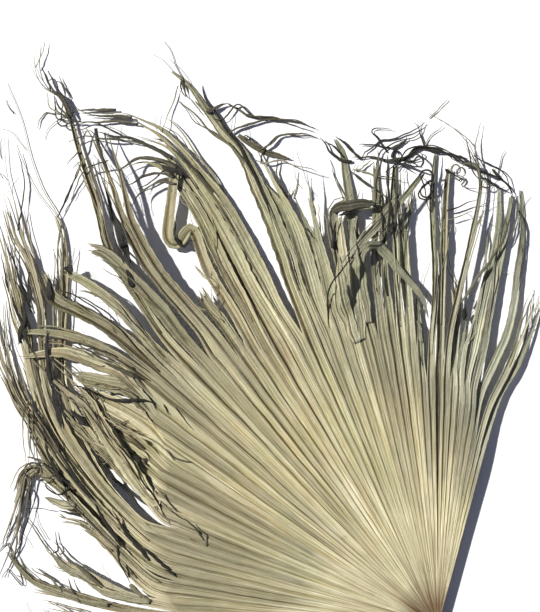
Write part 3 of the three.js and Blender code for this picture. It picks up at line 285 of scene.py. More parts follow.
# Loose strands that only the looks have: width, height of the far end, darkness and route. One darker than
# the first value below is painted shadow, a near-black strip laid flat where shade falls between segments,
# and one wider than BROAD_FROM is a torn strip. The darkness of the others is their own dark colour with some
# painted shade of their undersides.
PAINTED_SHADOW_FROM = 0.88
BROAD_FROM = 8
STRAND_LIFT = 1.2  # height of a strand over what it crosses
PAINTED_SHADOW_LIFT = 0.6
EASINGS = 9  # how often its heights are eased
STRANDS = [
    # Tangle at the upper right
    (2.0, 7, 0.75, [(-75, 712), (-81, 720), (-87, 730), (-94, 738), (-100, 744), (-93, 748), (-82, 748),
        (-69, 746)]),
    (2.4, 7, 0.8, [(-69, 718), (-80, 720), (-93, 723), (-108, 724), (-118, 723)]),
    (5, 7, 0.85, [(-69, 717), (-62, 720), (-54, 726), (-48, 729), (-45, 735)]),
    (2.4, 7, 0.8, [(-93, 723), (-84, 730), (-69, 732), (-57, 735), (-46, 740), (-38, 744), (-28, 750),
        (-18, 756)]),
    (2.2, 6, 0.8, [(-18, 720), (-24, 735), (-28, 748), (-32, 756)]),
    (4, 7, 0.7, [(-45, 704), (-57, 702), (-66, 700), (-80, 700), (-94, 704), (-117, 704), (-129, 705)]),
    (2.2, 7, 0.7, [(-87, 729), (-93, 724), (-100, 718), (-108, 711), (-116, 700)]),
    (4, 7, 0.87, [(-68, 704), (-63, 716), (-57, 706)]),
    (4.6, 9, 0.82, [(-54, 700), (-45, 704), (-39, 711), (-33, 717), (-27, 720), (-15, 718), (-3, 716),
        (8, 714), (16, 710), (26, 705), (34, 699), (42, 693), (57, 688)]),
    (3, 10, 0.85, [(-39, 705), (-33, 714), (-26, 718), (-12, 716), (0, 711), (12, 711), (21, 704),
        (30, 698)]),
    (3, 8, 0.85, [(-60, 693), (-50, 694), (-39, 690), (-27, 688), (-22, 696), (-26, 705), (-33, 710),
        (-40, 705), (-39, 696), (-30, 692)]),
    (2.6, 9, 0.85, [(-54, 702), (-45, 698), (-34, 699), (-26, 702), (-22, 710), (-30, 712)]),
    (2.6, 7, 0.8, [(-69, 699), (-60, 698), (-51, 692), (-44, 686), (-38, 681)]),
    (2.6, 8, 0.85, [(-30, 675), (-24, 682), (-15, 682), (-9, 676), (-8, 668), (-15, 666), (-21, 660),
        (-28, 654), (-30, 645), (-24, 640), (-15, 640), (-10, 648), (-12, 658), (-20, 668), (-27, 674)]),
    (2.2, 8, 0.85, [(-8, 672), (-16, 663), (-26, 657), (-27, 648), (-20, 644), (-12, 645), (-8, 654),
        (-10, 663), (-18, 666)]),
    (3, 12, 0.8, [(-8, 621), (-6, 669), (-2, 710)]),
    (2.8, 7, 0.75, [(-129, 681), (-117, 672), (-105, 663), (-92, 654), (-84, 645), (-81, 630)]),
    (2.2, 6, 0.5, [(-126, 686), (-116, 686), (-108, 693), (-99, 699)]),
    (2.2, 6, 0.5, [(-117, 684), (-105, 681), (-93, 676), (-80, 675), (-64, 672), (-52, 669)]),
    (3, 8, 0.75, [(26, 705), (34, 706), (40, 702), (45, 694), (50, 687), (57, 676), (64, 668)]),
    (2, 6, 0.75, [(51, 692), (48, 708), (45, 720), (42, 732)]),
    (2, 6, 0.7, [(63, 687), (56, 698), (48, 714)]),
    (1.6, 5, 0.5, [(60, 687), (56, 711), (60, 734), (65, 755)]),
    (2, 7, 0.6, [(22, 681), (22, 690), (28, 693), (34, 688), (33, 681), (27, 680), (22, 684), (26, 692)]),
    (2, 7, 0.85, [(18, 681), (12, 687), (14, 682), (21, 680), (30, 675), (38, 672), (34, 666)]),
    (2, 7, 0.6, [(27, 675), (33, 669), (39, 674), (42, 668), (36, 663), (48, 657), (60, 657)]),
    (4.5, 7, 0.6, [(38, 693), (48, 693), (58, 690), (63, 682), (64, 668), (63, 654)]),
    (3.5, 7, 0.8, [(63, 682), (72, 680), (82, 676), (92, 674)]),
    (3, 6, 0.85, [(84, 687), (92, 676), (99, 669), (106, 663), (112, 654), (114, 642)]),
    (3, 6, 0.85, [(64, 672), (74, 670), (81, 666), (88, 660), (96, 656), (104, 654), (110, 660)]),
    (2, 6, 0.6, [(63, 660), (75, 657), (86, 663), (92, 654), (100, 660)]),
    (1.8, 5, 0.85, [(14, 624), (26, 627), (40, 633), (58, 640)]),
    (1.4, 5, 0.5, [(16, 610), (33, 615), (52, 622)]),
    (1.4, 4, 0.5, [(90, 672), (93, 684), (96, 699), (102, 714)]),
    (4, 9, 0.8, [(-114, 702), (-129, 714), (-142, 728), (-153, 736)]),
    (4, 8, 0.8, [(-129, 699), (-144, 699), (-160, 711), (-170, 726), (-177, 734)]),
    (6, 14, 0.6, [(-96, 632), (-94, 662), (-90, 692), (-90, 714)]),
    (3.5, 16, 0.8, [(-75, 591), (-74, 632), (-75, 669), (-76, 699)]),
    (3, 16, 0.8, [(-66, 603), (-63, 646), (-60, 690)]),
    (3, 16, 0.9, [(-82, 579), (-86, 616), (-90, 646)]),
    (4, 12, 0.7, [(34, 484), (56, 519), (81, 552), (100, 586), (111, 624), (112, 654)]),
    (8, 16, 0.9, [(39, 459), (39, 471), (40, 480)]),
    (3, 10, 0.7, [(122, 646), (117, 602), (105, 572)]),
    (3, 8, 0.7, [(124, 624), (132, 594), (129, 546), (123, 504)]),
    # Strips and lines round the crossed segments of the middle
    (15, 26, 0.7, [(-160, 621), (-148, 628), (-130, 631), (-110, 633), (-92, 633)]),
    (4, 22, 0.95, [(-150, 616), (-132, 620), (-116, 622)]),
    (12, 14, -0.05, [(-148, 612), (-145, 580), (-140, 540), (-132, 484)]),
    (15, 14, 0.05, [(-112, 430), (-118, 470), (-122, 505), (-125, 540), (-128, 575), (-131, 600)]),
    (16, 16, 0.1, [(-122, 425), (-132, 460), (-141, 492), (-147, 525), (-151, 560)]),
    (2.2, 22, 0.9, [(-165, 441), (-165, 471), (-165, 501), (-156, 519), (-141, 540), (-129, 555),
        (-114, 576)]),
    (6, 26, 0.95, [(-130, 550), (-114, 562), (-92, 568)]),
    (5, 30, 0.85, [(-159, 567), (-156, 585), (-153, 608)]),
    (2.5, 14, 0.8, [(-208, 504), (-222, 546), (-232, 572)]),
    (3, 16, 0.5, [(-216, 639), (-212, 657), (-208, 681)]),
    # Arcs that run right from the two long segments
    (5, 7, 0.8, [(-348, 771), (-332, 780), (-315, 786)]),
    (3, 6, 0.7, [(-315, 786), (-300, 777), (-288, 768), (-273, 765), (-252, 765), (-234, 762),
        (-213, 760), (-189, 750)]),
    (5, 6, 0.8, [(-288, 768), (-264, 765), (-237, 762)]),
    (3, 5, 0.7, [(-315, 740), (-297, 750), (-264, 759), (-237, 762), (-207, 756), (-183, 747)]),
    (9, 6, 0.55, [(-300, 738), (-279, 722), (-255, 711), (-222, 702)]),
    (3, 5, 0.7, [(-270, 714), (-252, 724), (-237, 736), (-207, 740), (-180, 734)]),
    (2, 4, 0.5, [(-273, 699), (-258, 696), (-237, 699), (-210, 690), (-180, 681)]),
    (4, 4, 0.7, [(-387, 822), (-382, 810), (-378, 796)]),
    (2.2, 4, 0.4, [(-372, 792), (-362, 780), (-350, 765)]),
    (1.5, 4, 0.5, [(-390, 812), (-402, 777), (-417, 741)]),
    # Ends that part leftwards from the knot of the broad group
    (6, 12, 0.7, [(-393, 687), (-420, 699), (-447, 702), (-480, 682)]),
    (5, 10, 0.7, [(-399, 702), (-432, 720), (-462, 732), (-492, 736), (-514, 744)]),
    (4, 12, 0.7, [(-396, 672), (-417, 680), (-438, 675), (-465, 660)]),
    (3.5, 10, 0.7, [(-393, 663), (-417, 666), (-438, 657), (-452, 642), (-458, 627)]),
    (12, 20, 0.95, [(-381, 675), (-399, 690), (-417, 702)]),
    (6, 20, 0.9, [(-417, 693), (-402, 681), (-390, 669)]),
    (4, 8, 0.75, [(-484, 775), (-512, 776), (-544, 774)]),
    (4, 8, 0.75, [(-460, 764), (-492, 766), (-527, 767)]),
    (3.4, 8, 0.7, [(-450, 754), (-478, 758), (-512, 757), (-549, 756)]),
    (2.4, 8, 0.6, [(-471, 729), (-507, 732), (-534, 735), (-555, 726)]),
    (3, 24, 0.97, [(-394, 607), (-395, 592), (-393, 576)]),
    (5, 24, 0.97, [(-394, 584), (-384, 570), (-370, 580)]),
    # Painted shadow strips and dark strips behind and beside the two strips of the upper left
    (13, 24, 0.97, [(-460, 537), (-474, 579), (-489, 616), (-502, 660)]),
    (3, 24, 0.9, [(-470, 543), (-480, 567), (-489, 591)]),
    (3, 24, 0.9, [(-458, 540), (-468, 564), (-478, 591)]),
    (12, 24, 0.97, [(-458, 507), (-462, 525), (-468, 534)]),
    (5, 14, 0.8, [(-514, 747), (-507, 714), (-492, 676)]),
    (2.2, 4, 0.5, [(-534, 699), (-549, 662), (-567, 624)]),
    (2, 4, 0.5, [(-528, 744), (-540, 714), (-558, 693)]),
    (14, 23, 0.9, [(-546, 534), (-561, 537)]),
    (4.5, 8, 0.75, [(-549, 765), (-556, 779), (-564, 792), (-570, 797), (-579, 806), (-586, 818),
        (-596, 839)]),
    (3.4, 8, 0.65, [(-551, 756), (-560, 769), (-569, 779), (-575, 794)]),
    (2.2, 6, 0.7, [(-553, 794), (-560, 807), (-570, 826)]),
    (1.4, 5, 0.4, [(-606, 838), (-596, 859), (-591, 879)]),
    (1.6, 5, 0.4, [(-566, 768), (-583, 779), (-588, 801)]),
    (2, 4, 0.5, [(-579, 770), (-590, 772), (-597, 765), (-604, 749)]),
    (3, 7, 0.6, [(-555, 762), (-566, 768), (-579, 770)]),
    (2.4, 7, 0.75, [(-556, 752), (-566, 751), (-572, 758), (-566, 762), (-560, 757)]),
    (1.4, 5, 0.4, [(-13, 764), (0, 774), (15, 792)]),
    (1.2, 5, 0.4, [(-18, 721), (-11, 736), (0, 744), (9, 752)]),
    (3, 10, 0.6, [(-567, 602), (-570, 579), (-572, 546)]),
    (4, 8, 0.3, [(-576, 616), (-567, 591), (-564, 555)]),
    # Painted shadow strips, dark strips and torn pieces of the mat on the left
    (4, 20, 0.9, [(-600, 400), (-612, 420), (-626, 456), (-640, 490), (-650, 520), (-656, 560)]),
    (3, 16, 0.9, [(-606, 470), (-618, 494), (-636, 540), (-648, 574)]),
    (3, 16, 0.85, [(-612, 470), (-624, 500), (-638, 520)]),
    (7, 22, 0.9, [(-580, 357), (-585, 399), (-586, 444)]),
    (10, 25, 0.97, [(-582, 489), (-585, 522)]),
    (10, 22, 0.97, [(-612, 486), (-615, 531)]),
    (8, 24, 0.95, [(-630, 422), (-621, 456), (-624, 489)]),
    (10, 26, 0.97, [(-564, 297), (-573, 332), (-580, 362)]),
    (8, 24, 0.9, [(-528, 300), (-540, 312), (-552, 324)]),
    (5, 20, 0.97, [(-440, 172), (-462, 196), (-480, 214), (-507, 246), (-531, 282)]),
    (6, 24, 0.95, [(-392, 74), (-417, 96), (-441, 118)]),
    (6, 22, 0.95, [(-474, 118), (-495, 150), (-516, 183)]),
    (6, 22, 0.95, [(-513, 186), (-540, 216), (-561, 249), (-574, 282)]),
    (5, 22, 0.8, [(-432, 99), (-465, 136), (-489, 177)]),
    (5, 22, 0.9, [(-552, 182), (-567, 219), (-585, 261), (-594, 302)]),
    (8, 20, 0.97, [(-446, 246), (-450, 252), (-458, 256)]),
    (3, 20, -1.2, [(-396, 250), (-414, 267), (-432, 279), (-455, 289), (-478, 299), (-506, 318)]),
    (2.4, 20, 0.95, [(-401, 152), (-422, 189), (-432, 204), (-443, 218), (-450, 234), (-455, 245),
        (-465, 257), (-477, 270), (-488, 284), (-497, 297), (-507, 312), (-522, 327), (-537, 344),
        (-552, 360)]),
    (1.6, 20, 0.9, [(-412, 332), (-408, 326), (-405, 317)]),
    (1.2, 20, 0.9, [(-396, 330), (-378, 306), (-366, 294)]),
    (1.6, 24, 0.7, [(-390, 171), (-405, 189), (-426, 213)]),
    (1.6, 22, 0.6, [(-351, 129), (-369, 153), (-393, 168), (-417, 189)]),
    (1.6, 22, 0.6, [(-348, 120), (-348, 135), (-363, 153)]),
    (4, 20, 0.95, [(-422, 330), (-432, 337), (-447, 339), (-462, 338), (-483, 339), (-500, 342),
        (-515, 350), (-532, 358), (-548, 362)]),
    (6, 22, 0.7, [(-453, 372), (-480, 387), (-504, 396)]),
    (2.4, 22, 0.7, [(-372, 246), (-393, 252), (-411, 267)]),
    (2, 4, 0.4, [(-616, 342), (-615, 294), (-615, 244)]),
    (2, 4, 0.5, [(-610, 339), (-608, 294), (-606, 246)]),
    (1.6, 4, 0.4, [(-621, 332), (-624, 285), (-618, 242)]),
    (3, 8, 0.8, [(-615, 244), (-606, 237), (-597, 246), (-603, 228), (-615, 222), (-621, 234),
        (-609, 246), (-594, 234), (-600, 219)]),
    (2.5, 8, 0.7, [(-618, 252), (-603, 249), (-588, 240), (-576, 228), (-585, 222), (-603, 228)]),
    (4, 2, 0.45, [(-618, 234), (-630, 196), (-642, 159), (-657, 117)]),
    (3.5, 2, 0.6, [(-621, 222), (-628, 182), (-632, 144), (-639, 99), (-657, 69)]),
    (2, 2, 0.6, [(-648, 122), (-636, 96), (-620, 72)]),
    (11, 8, 0.4, [(-543, 180), (-567, 183), (-591, 192)]),
    (4, 9, 0.9, [(-531, 168), (-549, 168), (-570, 172)]),
    (3, 9, 0.8, [(-567, 222), (-552, 210), (-570, 198), (-588, 210), (-576, 222)]),
    # Twigs and threads below the mat
    (12, 4, 0.35, [(-432, 36), (-477, 44), (-507, 54), (-530, 72), (-552, 81), (-570, 94), (-586, 114)]),
    (5, 3, 0.6, [(-504, 57), (-530, 81), (-552, 98), (-578, 124)]),
    (9, 3, 0.5, [(-495, 30), (-534, 36), (-567, 48), (-597, 58), (-620, 72), (-650, 110)]),
    (3, 2, 0.6, [(-564, 48), (-582, 69), (-604, 84)]),
    (3, 2, 0.7, [(-537, 33), (-549, 51), (-556, 69)]),
    (2, 2, 0.6, [(-585, 111), (-603, 136), (-621, 162)]),
    (2.5, 6, 0.8, [(-483, 122), (-477, 96), (-462, 63)]),
    (6, 6, 0.6, [(-462, 62), (-447, 48), (-429, 36)]),
]

# How the pleats differ. Each row holds a pleat number, how far the pleat has gone from straw to grey green,
# how brown it is, or how cool where it is below zero, how light it is, and how many splinters lie along it.
CHARACTER = [
    (0, 1.0, -0.8, 0.2, 1), (6, 1.0, -0.8, 0.15, 2), (12, 0.95, -0.6, 0.0, 3), (17, 0.9, -0.3, -0.05, 3),
    (21, 0.75, 0.0, -0.05, 3), (25, 0.6, 0.1, -0.1, 3), (29, 0.65, 0.2, -0.15, 4), (33, 0.75, 0.15, -0.1, 3),
    (36, 0.55, 0.3, 0.0, 5), (40, 0.55, 0.4, 0.08, 7), (46, 0.6, 0.45, 0.08, 9), (52, 0.65, 0.5, 0.05, 6),
    (60, 0.8, 0.4, 0.05, 3),
]
DRY, BROWN, LIGHT, SPLINTERS = 1, 2, 3, 4  # its columns
# The near-black below it is the colour of the threads, with painted shade, and of the painted shadow strips
# between segments
LIGHT_LEAST = -0.4  # below this the tissue would look like the black of the threads
DEEP_PLEAT = 8  # its valley is the one deep, dark fold of the right half
DEEP_FALL = 2.1


# Numbers and lines

def draw(number):
    """A fixed draw between 0 and 1 for each number: the fractional part of a steep sine wave.

    What is added to a seed in the functions below only keeps one draw apart from another.
    """
    return (43758.5453 * np.sin(12.9898 * np.asarray(number, float) + 4.1)) % 1.0


def lerp(a, b, t):
    """The value at the share t of the way from a to b."""
    return a + (b - a) * t


def smooth(x, a, b):
    """0 before a, 1 after b, and a cubic with level ends between them."""
    t = np.clip((x - a) / (b - a), 0, 1)
    return t * t * (3 - 2 * t)


def ripple(x, seed, pace=1.0):
    """A slow uneven wave of about -1 to 1: three sines at drawn phases, each faster and lower than the one
    before."""
    wave = 0
    for k, quick in enumerate((1.0, 2.3, 4.9)):
        wave = wave + np.sin(2 * math.pi * (pace * quick * x + draw(seed + 17 * k))) / (1 + k)
    return wave / 1.6


def listed(pleat, column):
    """A value of CHARACTER at any pleat number, straight between its rows."""
    rows = np.array(CHARACTER, float)
    return np.interp(pleat, rows[:, 0], rows[:, column])


def bearing(pleat):
    """The bearing of a pleat's edge in radians; half numbers are valleys."""
    u = pleat / PLEATS
    return np.radians(FAN_START + FAN_SPAN * (u - FAN_CROWDING * u * (1 - u)))


EDGES = np.arange(PLEATS + 1)
EDGE_RADII = np.interp(EDGES, *np.array(SPLITS, float).T) + SPLIT_SWAY * np.sin(SPLIT_PACE * EDGES)
# The share of a full fold by which each edge stands up and each valley lies down
EDGE_RISE = lerp(0.1, 1.35, draw(EDGES + 300) ** 1.4)
VALLEY_FALL = lerp(0.1, 1.4, draw(EDGES + 400) ** 1.2)
VALLEY_FALL[DEEP_PLEAT] = DEEP_FALL


def rim_radius(across):
    """Radius of the fan's rim at any pleat number: straight between the edges and the valleys."""
    valleys = np.minimum(EDGE_RADII[:-1], EDGE_RADII[1:]) + VALLEY_REACH
    places = np.append(np.stack([EDGES[:-1], EDGES[:-1] + 0.5], 1).ravel(), PLEATS)
    radii = np.append(np.stack([EDGE_RADII[:-1], valleys], 1).ravel(), EDGE_RADII[-1])
    return np.interp(across, places, radii)


def pleat_width(pleat, r):
    """The arc of a pleat at a radius."""
    return r * (bearing(pleat + 0.5) - bearing(pleat - 0.5))


def fold_depth(pleat, r):
    """Half the depth of a fold: a share of the pleat's width, up to a limit."""
    return np.minimum(FOLD_SHARE * pleat_width(pleat, r), FOLD_MOST)


def fan_height(pleat, r):
    """Height of the pleats' middle: level at the hub, with slow waves that grow towards the rim, less the dip
    of the upper left."""
    begins, full, fades, gone = DIP_PLEATS
    dip = FAN_DIP * smooth(r, *DIP_RADII) * smooth(pleat, begins, full) * (1 - smooth(pleat, fades, gone))
    waves = sum(height * np.sin(pace * pleat + shift + run * r) for height, pace, shift, run in WAVES)
    return FAN_HEIGHT - dip + smooth(r, *WAVE_RADII) * waves


def fold_shape(across, ease):
    """Height and mark of the fold at a pleat number, with ease from 0 in the fan to 1 in a free segment.

    The height is 1 on an edge and -1 in a valley, times what the edge and the valley stand up or lie down by,
    plus a low rib between them. The way down is a power of the distance, so that edges are round and valleys
    are creases. The valley lies off the middle, away from the light, on a column of the grid. The mark runs
    from 1 on an edge down to the valley's own depth, below -1 in the deepest.
    """
    pleat = np.minimum(np.floor(across + 1e-9), PLEATS - 1).astype(int)
    t = np.clip(across - pleat, 0, 1)
    lean = 0.2 * (1 - 2 * smooth(pleat, 36, 48)) + 0.14 * (draw(pleat + 500) - 0.5)
    valley = np.round((0.5 + lean) * ACROSS) / ACROSS
    down = np.where(t < valley, t / valley, (1 - t) / (1 - valley))
    down = down ** np.where(pleat == DEEP_PLEAT, 0.8, lerp(2.4, 1.2, ease))
    rise = lerp(EDGE_RISE[pleat], EDGE_RISE[pleat + 1], t)
    zigzag = np.abs((4 * t + draw(pleat + 520)) % 1 - 0.5) * 4 - 1
    rib = lerp(0.22, 0.12, ease) * zigzag * np.minimum(8 * t * (1 - t), 1)
    # How far the mark sinks in each valley, on which the material paints shade in the crease: more where the
    # valley falls further, and more on the fan's pleats before the middle
    shade_mark_depth = 0.46 + 0.62 * VALLEY_FALL[pleat] + 0.22 * (1 - smooth(pleat, 26, 36)) * (1 - ease)
    return lerp(rise, -VALLEY_FALL[pleat], down) + rib, 1 - 2 * down * np.clip(shade_mark_depth, 0, 2)


def trace(way):
    """A smooth curve through a way's points, as SPAN_POINTS for each span, and their distances along it.

    Each span is a cubic whose pace is the square root of the chord, and the ends run straight on.
    """
    p = np.array(way, float)
    p = np.vstack([2 * p[0] - p[1], p, 2 * p[-1] - p[-2]])
    pace = np.sqrt(np.linalg.norm(np.diff(p, axis=0), axis=1))[:, None]
    before, pace, after = pace[:-2], pace[1:-1], pace[2:]
    a, b, c, d = p[:-3], p[1:-2], p[2:-1], p[3:]
    leave = pace * ((b - a) / before - (c - a) / (before + pace) + (c - b) / pace)
    arrive = pace * ((c - b) / pace - (d - b) / (pace + after) + (d - c) / after)
    u = np.linspace(0, 1, SPAN_POINTS, endpoint=False)[:, None, None]
    curve = b + u * (leave + u * (3 * (c - b) - 2 * leave - arrive + u * (2 * (b - c) + leave + arrive)))
    points = np.vstack([curve.transpose(1, 0, 2).reshape(-1, p.shape[1]), p[-2]])
    gone = np.append(0, np.cumsum(np.linalg.norm(np.diff(points[:, :2], axis=0), axis=1)))
    return points, gone


def leftwards(ahead):
    """The level direction to the left of a direction in the plane."""
    return np.stack([-ahead[..., 1], ahead[..., 0], 0 * ahead[..., 0]], -1)


class Route:
    """The line that a segment follows: straight out of the fan and then along its way, with its heights."""

    def __init__(self, spec):
        self.spec = spec
        self.pleat, self.pleats = spec["pleat"], spec.get("pleats", 1)
        self.middle = self.pleat + self.pleats / 2
        self.start = EDGE_RADII[self.pleat:self.pleat + self.pleats + 1].min() - ROOT_SINK
        angle = bearing(self.middle)
        out = self.start + 2 * ROOT_SINK
        root = [(r * math.cos(angle), r * math.sin(angle)) for r in (self.start, out)]
        self.points, self.gone = trace(root + list(spec["way"]))
        self.length = self.gone[-1]
        self.root = 2 * ROOT_SINK / self.length
        self.root_height = fan_height(self.middle, out)

    def place(self, s):
        """The point in the plane at a share of the length, held at the ends."""
        held = np.clip(s, 0, 1) * self.length
        return np.stack([np.interp(held, self.gone, self.points[:, i]) for i in (0, 1)], -1)

    def ahead(self, s, reach=0.012):
        """The direction in the plane, from the place a little before to the place a little after."""
        step = self.place(np.minimum(s + reach, 1)) - self.place(np.maximum(s - reach, 0))
        return step / np.linalg.norm(step, axis=-1, keepdims=True)

    def height(self, s):
        """From the root's height to the middle height at the peak, and on to the end's."""
        peak = self.spec.get("peak", PEAK)
        bent = lerp(self.root_height, self.spec["mid"], smooth(s, self.root, peak))
        return np.maximum(lerp(bent, self.spec["end"], smooth(s, peak + PEAK_KEPT, 1)), LOWEST)


ROUTES = {spec["pleat"]: Route(spec) for spec in SEGMENTS}


# Surfaces

class Sheet:
    """Points, marks and four-cornered faces of a surface that is put together from grids.

    The marks of a point are its pleat number, its distance from the hub in metres, and then those in MARKS.
    """

    def __init__(self):
        self.points, self.marks, self.faces, self.count = [], [], [], 0

    def add(self, points, marks):
        """Takes in a grid of points and gives their numbers."""
        numbers = self.count + np.arange(points[..., 0].size).reshape(points.shape[:-1])
        self.points.append(points.reshape(-1, 3))
        self.marks.append(marks.reshape(-1, marks.shape[-1]))
        self.count += numbers.size
        return numbers

    def join(self, numbers):
        """Faces between the rows of a grid of numbers, facing up where each row runs to the left."""
        corners = [numbers[:-1, :-1], numbers[1:, :-1], numbers[1:, 1:], numbers[:-1, 1:]]
        self.faces.append(np.stack(corners, -1).reshape(-1, 4))

    def grid(self, points, marks):
        """Takes in a grid of points and the faces between its rows."""
        self.join(self.add(points, marks))


def close_sheet(points, faces, thickness):
    """Both faces of a thin sheet and the wall round its border.

    Each point goes half the thickness up and down its normal, the mean of the crossed diagonals of the faces
    round it. An edge with a face on one side alone gets a wall.
    """
    corners = points[faces]
    across = np.cross(corners[:, 2] - corners[:, 0], corners[:, 3] - corners[:, 1])
    normals = np.zeros_like(points)
    for k in range(4):
        np.add.at(normals, faces[:, k], across)
    normals /= np.maximum(np.linalg.norm(normals, axis=1, keepdims=True), 1e-12)
    shift = normals * thickness[:, None] / 2
    count = len(points)
    a, b = faces.ravel(), np.roll(faces, -1, axis=1).ravel()
    rim = ~np.isin(a * count + b, b * count + a)
    a, b = a[rim], b[rim]
    walls = np.stack([b, a, a + count, b + count], 1)
    body = np.vstack([points + shift, points - shift])
    body[:, 2] = np.clip(body[:, 2], FACE_LOWEST, FACE_HIGHEST)
    return body, np.vstack([faces, faces[:, ::-1] + count, walls])


TURN = math.radians(90 - MIDLINE)


def in_frame(x, y, z):
    """A place in the lie of the routes as a place in the leaf's frame: a turn about Z."""
    return x * math.cos(TURN) - y * math.sin(TURN), x * math.sin(TURN) + y * math.cos(TURN), z


# How a point's tissue differs: where it is in its fold, and how dry, brown and light it is
MARKS = ("fold", "dry", "brown", "light")


def make_piece(name, points, faces, marks, material, node):
    """A mesh of these points and faces, in metres, with its marks as a UV map and four attributes."""
    mesh = bpy.data.meshes.new(name)
    mesh.vertices.add(len(points))
    mesh.vertices.foreach_set("co", points.astype(np.float32).ravel())
    sides = faces.shape[1]
    mesh.loops.add(faces.size)
    mesh.loops.foreach_set("vertex_index", faces.astype(np.int32).ravel())
    mesh.polygons.add(len(faces))
    mesh.polygons.foreach_set("loop_start", np.arange(0, faces.size, sides, dtype=np.int32))
    mesh.update(calc_edges=True)
    mesh.polygons.foreach_set("use_smooth", np.ones(len(faces), bool))
    layer = mesh.uv_layers.new(name="run")
    layer.uv.foreach_set("vector", marks[faces.ravel(), :2].astype(np.float32).ravel())
    for k, mark in enumerate(MARKS):
        values = mesh.attributes.new(mark, "FLOAT", "POINT")
        values.data.foreach_set("value", marks[:, k + 2].astype(np.float32))
    mesh.materials.append(material)
    mesh.validate()
    piece = bpy.data.objects.new(name, mesh)
    bpy.context.scene.collection.objects.link(piece)
    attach(piece, "root")
    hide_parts(node)


def leaf_piece(name, sheet, thickness, material):
    """A blade piece from a sheet whose points have the given thicknesses."""
    points, marks = np.vstack(sheet.points), np.vstack(sheet.marks)
    body, faces = close_sheet(points, np.vstack(sheet.faces), thickness)
    placed = np.stack(in_frame(*(body.T / 1000)), 1)
    make_piece(name, placed, faces, np.vstack([marks, marks]), material, "blade")


# The fan and its segments

def leaf_marks(across, along, fold, free):
    """The marks of blade points, by pleat number, distance from the hub, mark of the fold and share of the
    free length.

    The tissue turns from straw to grey green past two thirds of the fan and along the first third of each
    segment, at a pace that differs between pleats, and it turns brown round the rim. It is light near the
    hub and darker further out, above all on the right and past the middle, where it is still joined. Each
    pleat is a little lighter or darker than the next.
    """
    pleat = np.minimum(np.floor(across), PLEATS - 1)
    rim = rim_radius(across)
    joined = 1 - smooth(free, 0, 0.15)
    uneven = along + 26 * ripple(pleat, 3, 0.37)
    dry = listed(across, DRY) * (0.5 * smooth(uneven, 0.62 * rim, 1.04 * rim) + 0.5 * smooth(free, 0, 0.34))
    brown = listed(across, BROWN) * smooth(along, 0.66 * rim, 1.06 * rim)
    light = listed(across, LIGHT) * smooth(along, 0.8 * rim, 1.1 * rim) + 0.4 * (draw(pleat + 40) - 0.5)
    light = light - 0.14 * smooth(along, 0.55 * rim, 1.0 * rim) + 0.55 * (1 - smooth(along, 60, 240))
    light = light - joined * smooth(along, 120, 260) * (0.18 + 0.18 * smooth(pleat, 34, 41))
    light = light - 0.25 * joined * smooth(along, 0.5 * rim, 0.8 * rim) * (1 - smooth(pleat, 8, 16))
    light = np.maximum(light, LIGHT_LEAST)
    return np.stack(np.broadcast_arrays(across, along / 1000, fold, dry, brown, light), -1)


def fan_grid(across):
    """The fan between the collar and its rim, by pleat number and share of the way out.

    Its height is that of the fan plus the fold, whose depth grows with the pleat's width and varies on the
    way, and the middle of each pleat sways between its edges.
    """
    share = np.linspace(0, 1, FAN_ROWS)[:, None]
    r = lerp(FAN_INNER, rim_radius(across)[None, :], share)
    fold, mark = fold_shape(across, 0)
    vary = 1 + 0.25 * ripple(r / 300, across // 1 * 7 + 2)
    begins, full, fades, gone = FLATTER_PLEATS
    kept = lerp(*FAN_FOLD, smooth(across, begins, full) * (1 - smooth(across, fades, gone)))
    z = fan_height(across, r) + fold * vary * fold_depth(across, r) * kept
    sway = 0.09 * ripple(r / 260, np.round(across) * 5 + 9) * smooth(r, 60, 200)
    angle = bearing(across + sway * np.sin(math.pi * (across % 1)))
    points = np.stack([r * np.cos(angle), r * np.sin(angle), z], -1)
    return points, leaf_marks(across[None, :], r, mark[None, :] + 0 * r, 0 * r)


def segment_width(route, s):
    """Width of a segment at shares of its length: from the root's to the free one, and by a power on to the
    tip's, with a thread's width at a thin end, a slow ripple and the neck."""
    spec = route.spec
    free = smooth(s, route.root, WIDE_AT)
    root_width = pleat_width(route.middle, route.start) * (route.pleats - 0.04)
    narrowed = np.abs(s) ** spec.get("taper", TAPER)
    width = lerp(lerp(root_width, spec["wide"] * 1.04, free), spec.get("tip", TIP_WIDTH), narrowed)
    if "thin" in spec:
        share, thread = spec["thin"]
        width = lerp(width, np.minimum(width, thread), smooth(s, share - 0.1, share))
    width = width * (1 + free * 0.1 * ripple(s * route.length / 240, route.pleat + 80))
    neck = smooth(s, route.root, NECK[0]) * (1 - smooth(s, NECK[1], NECK[2]))
    return width * lerp(1, spec.get("neck", 1), neck)


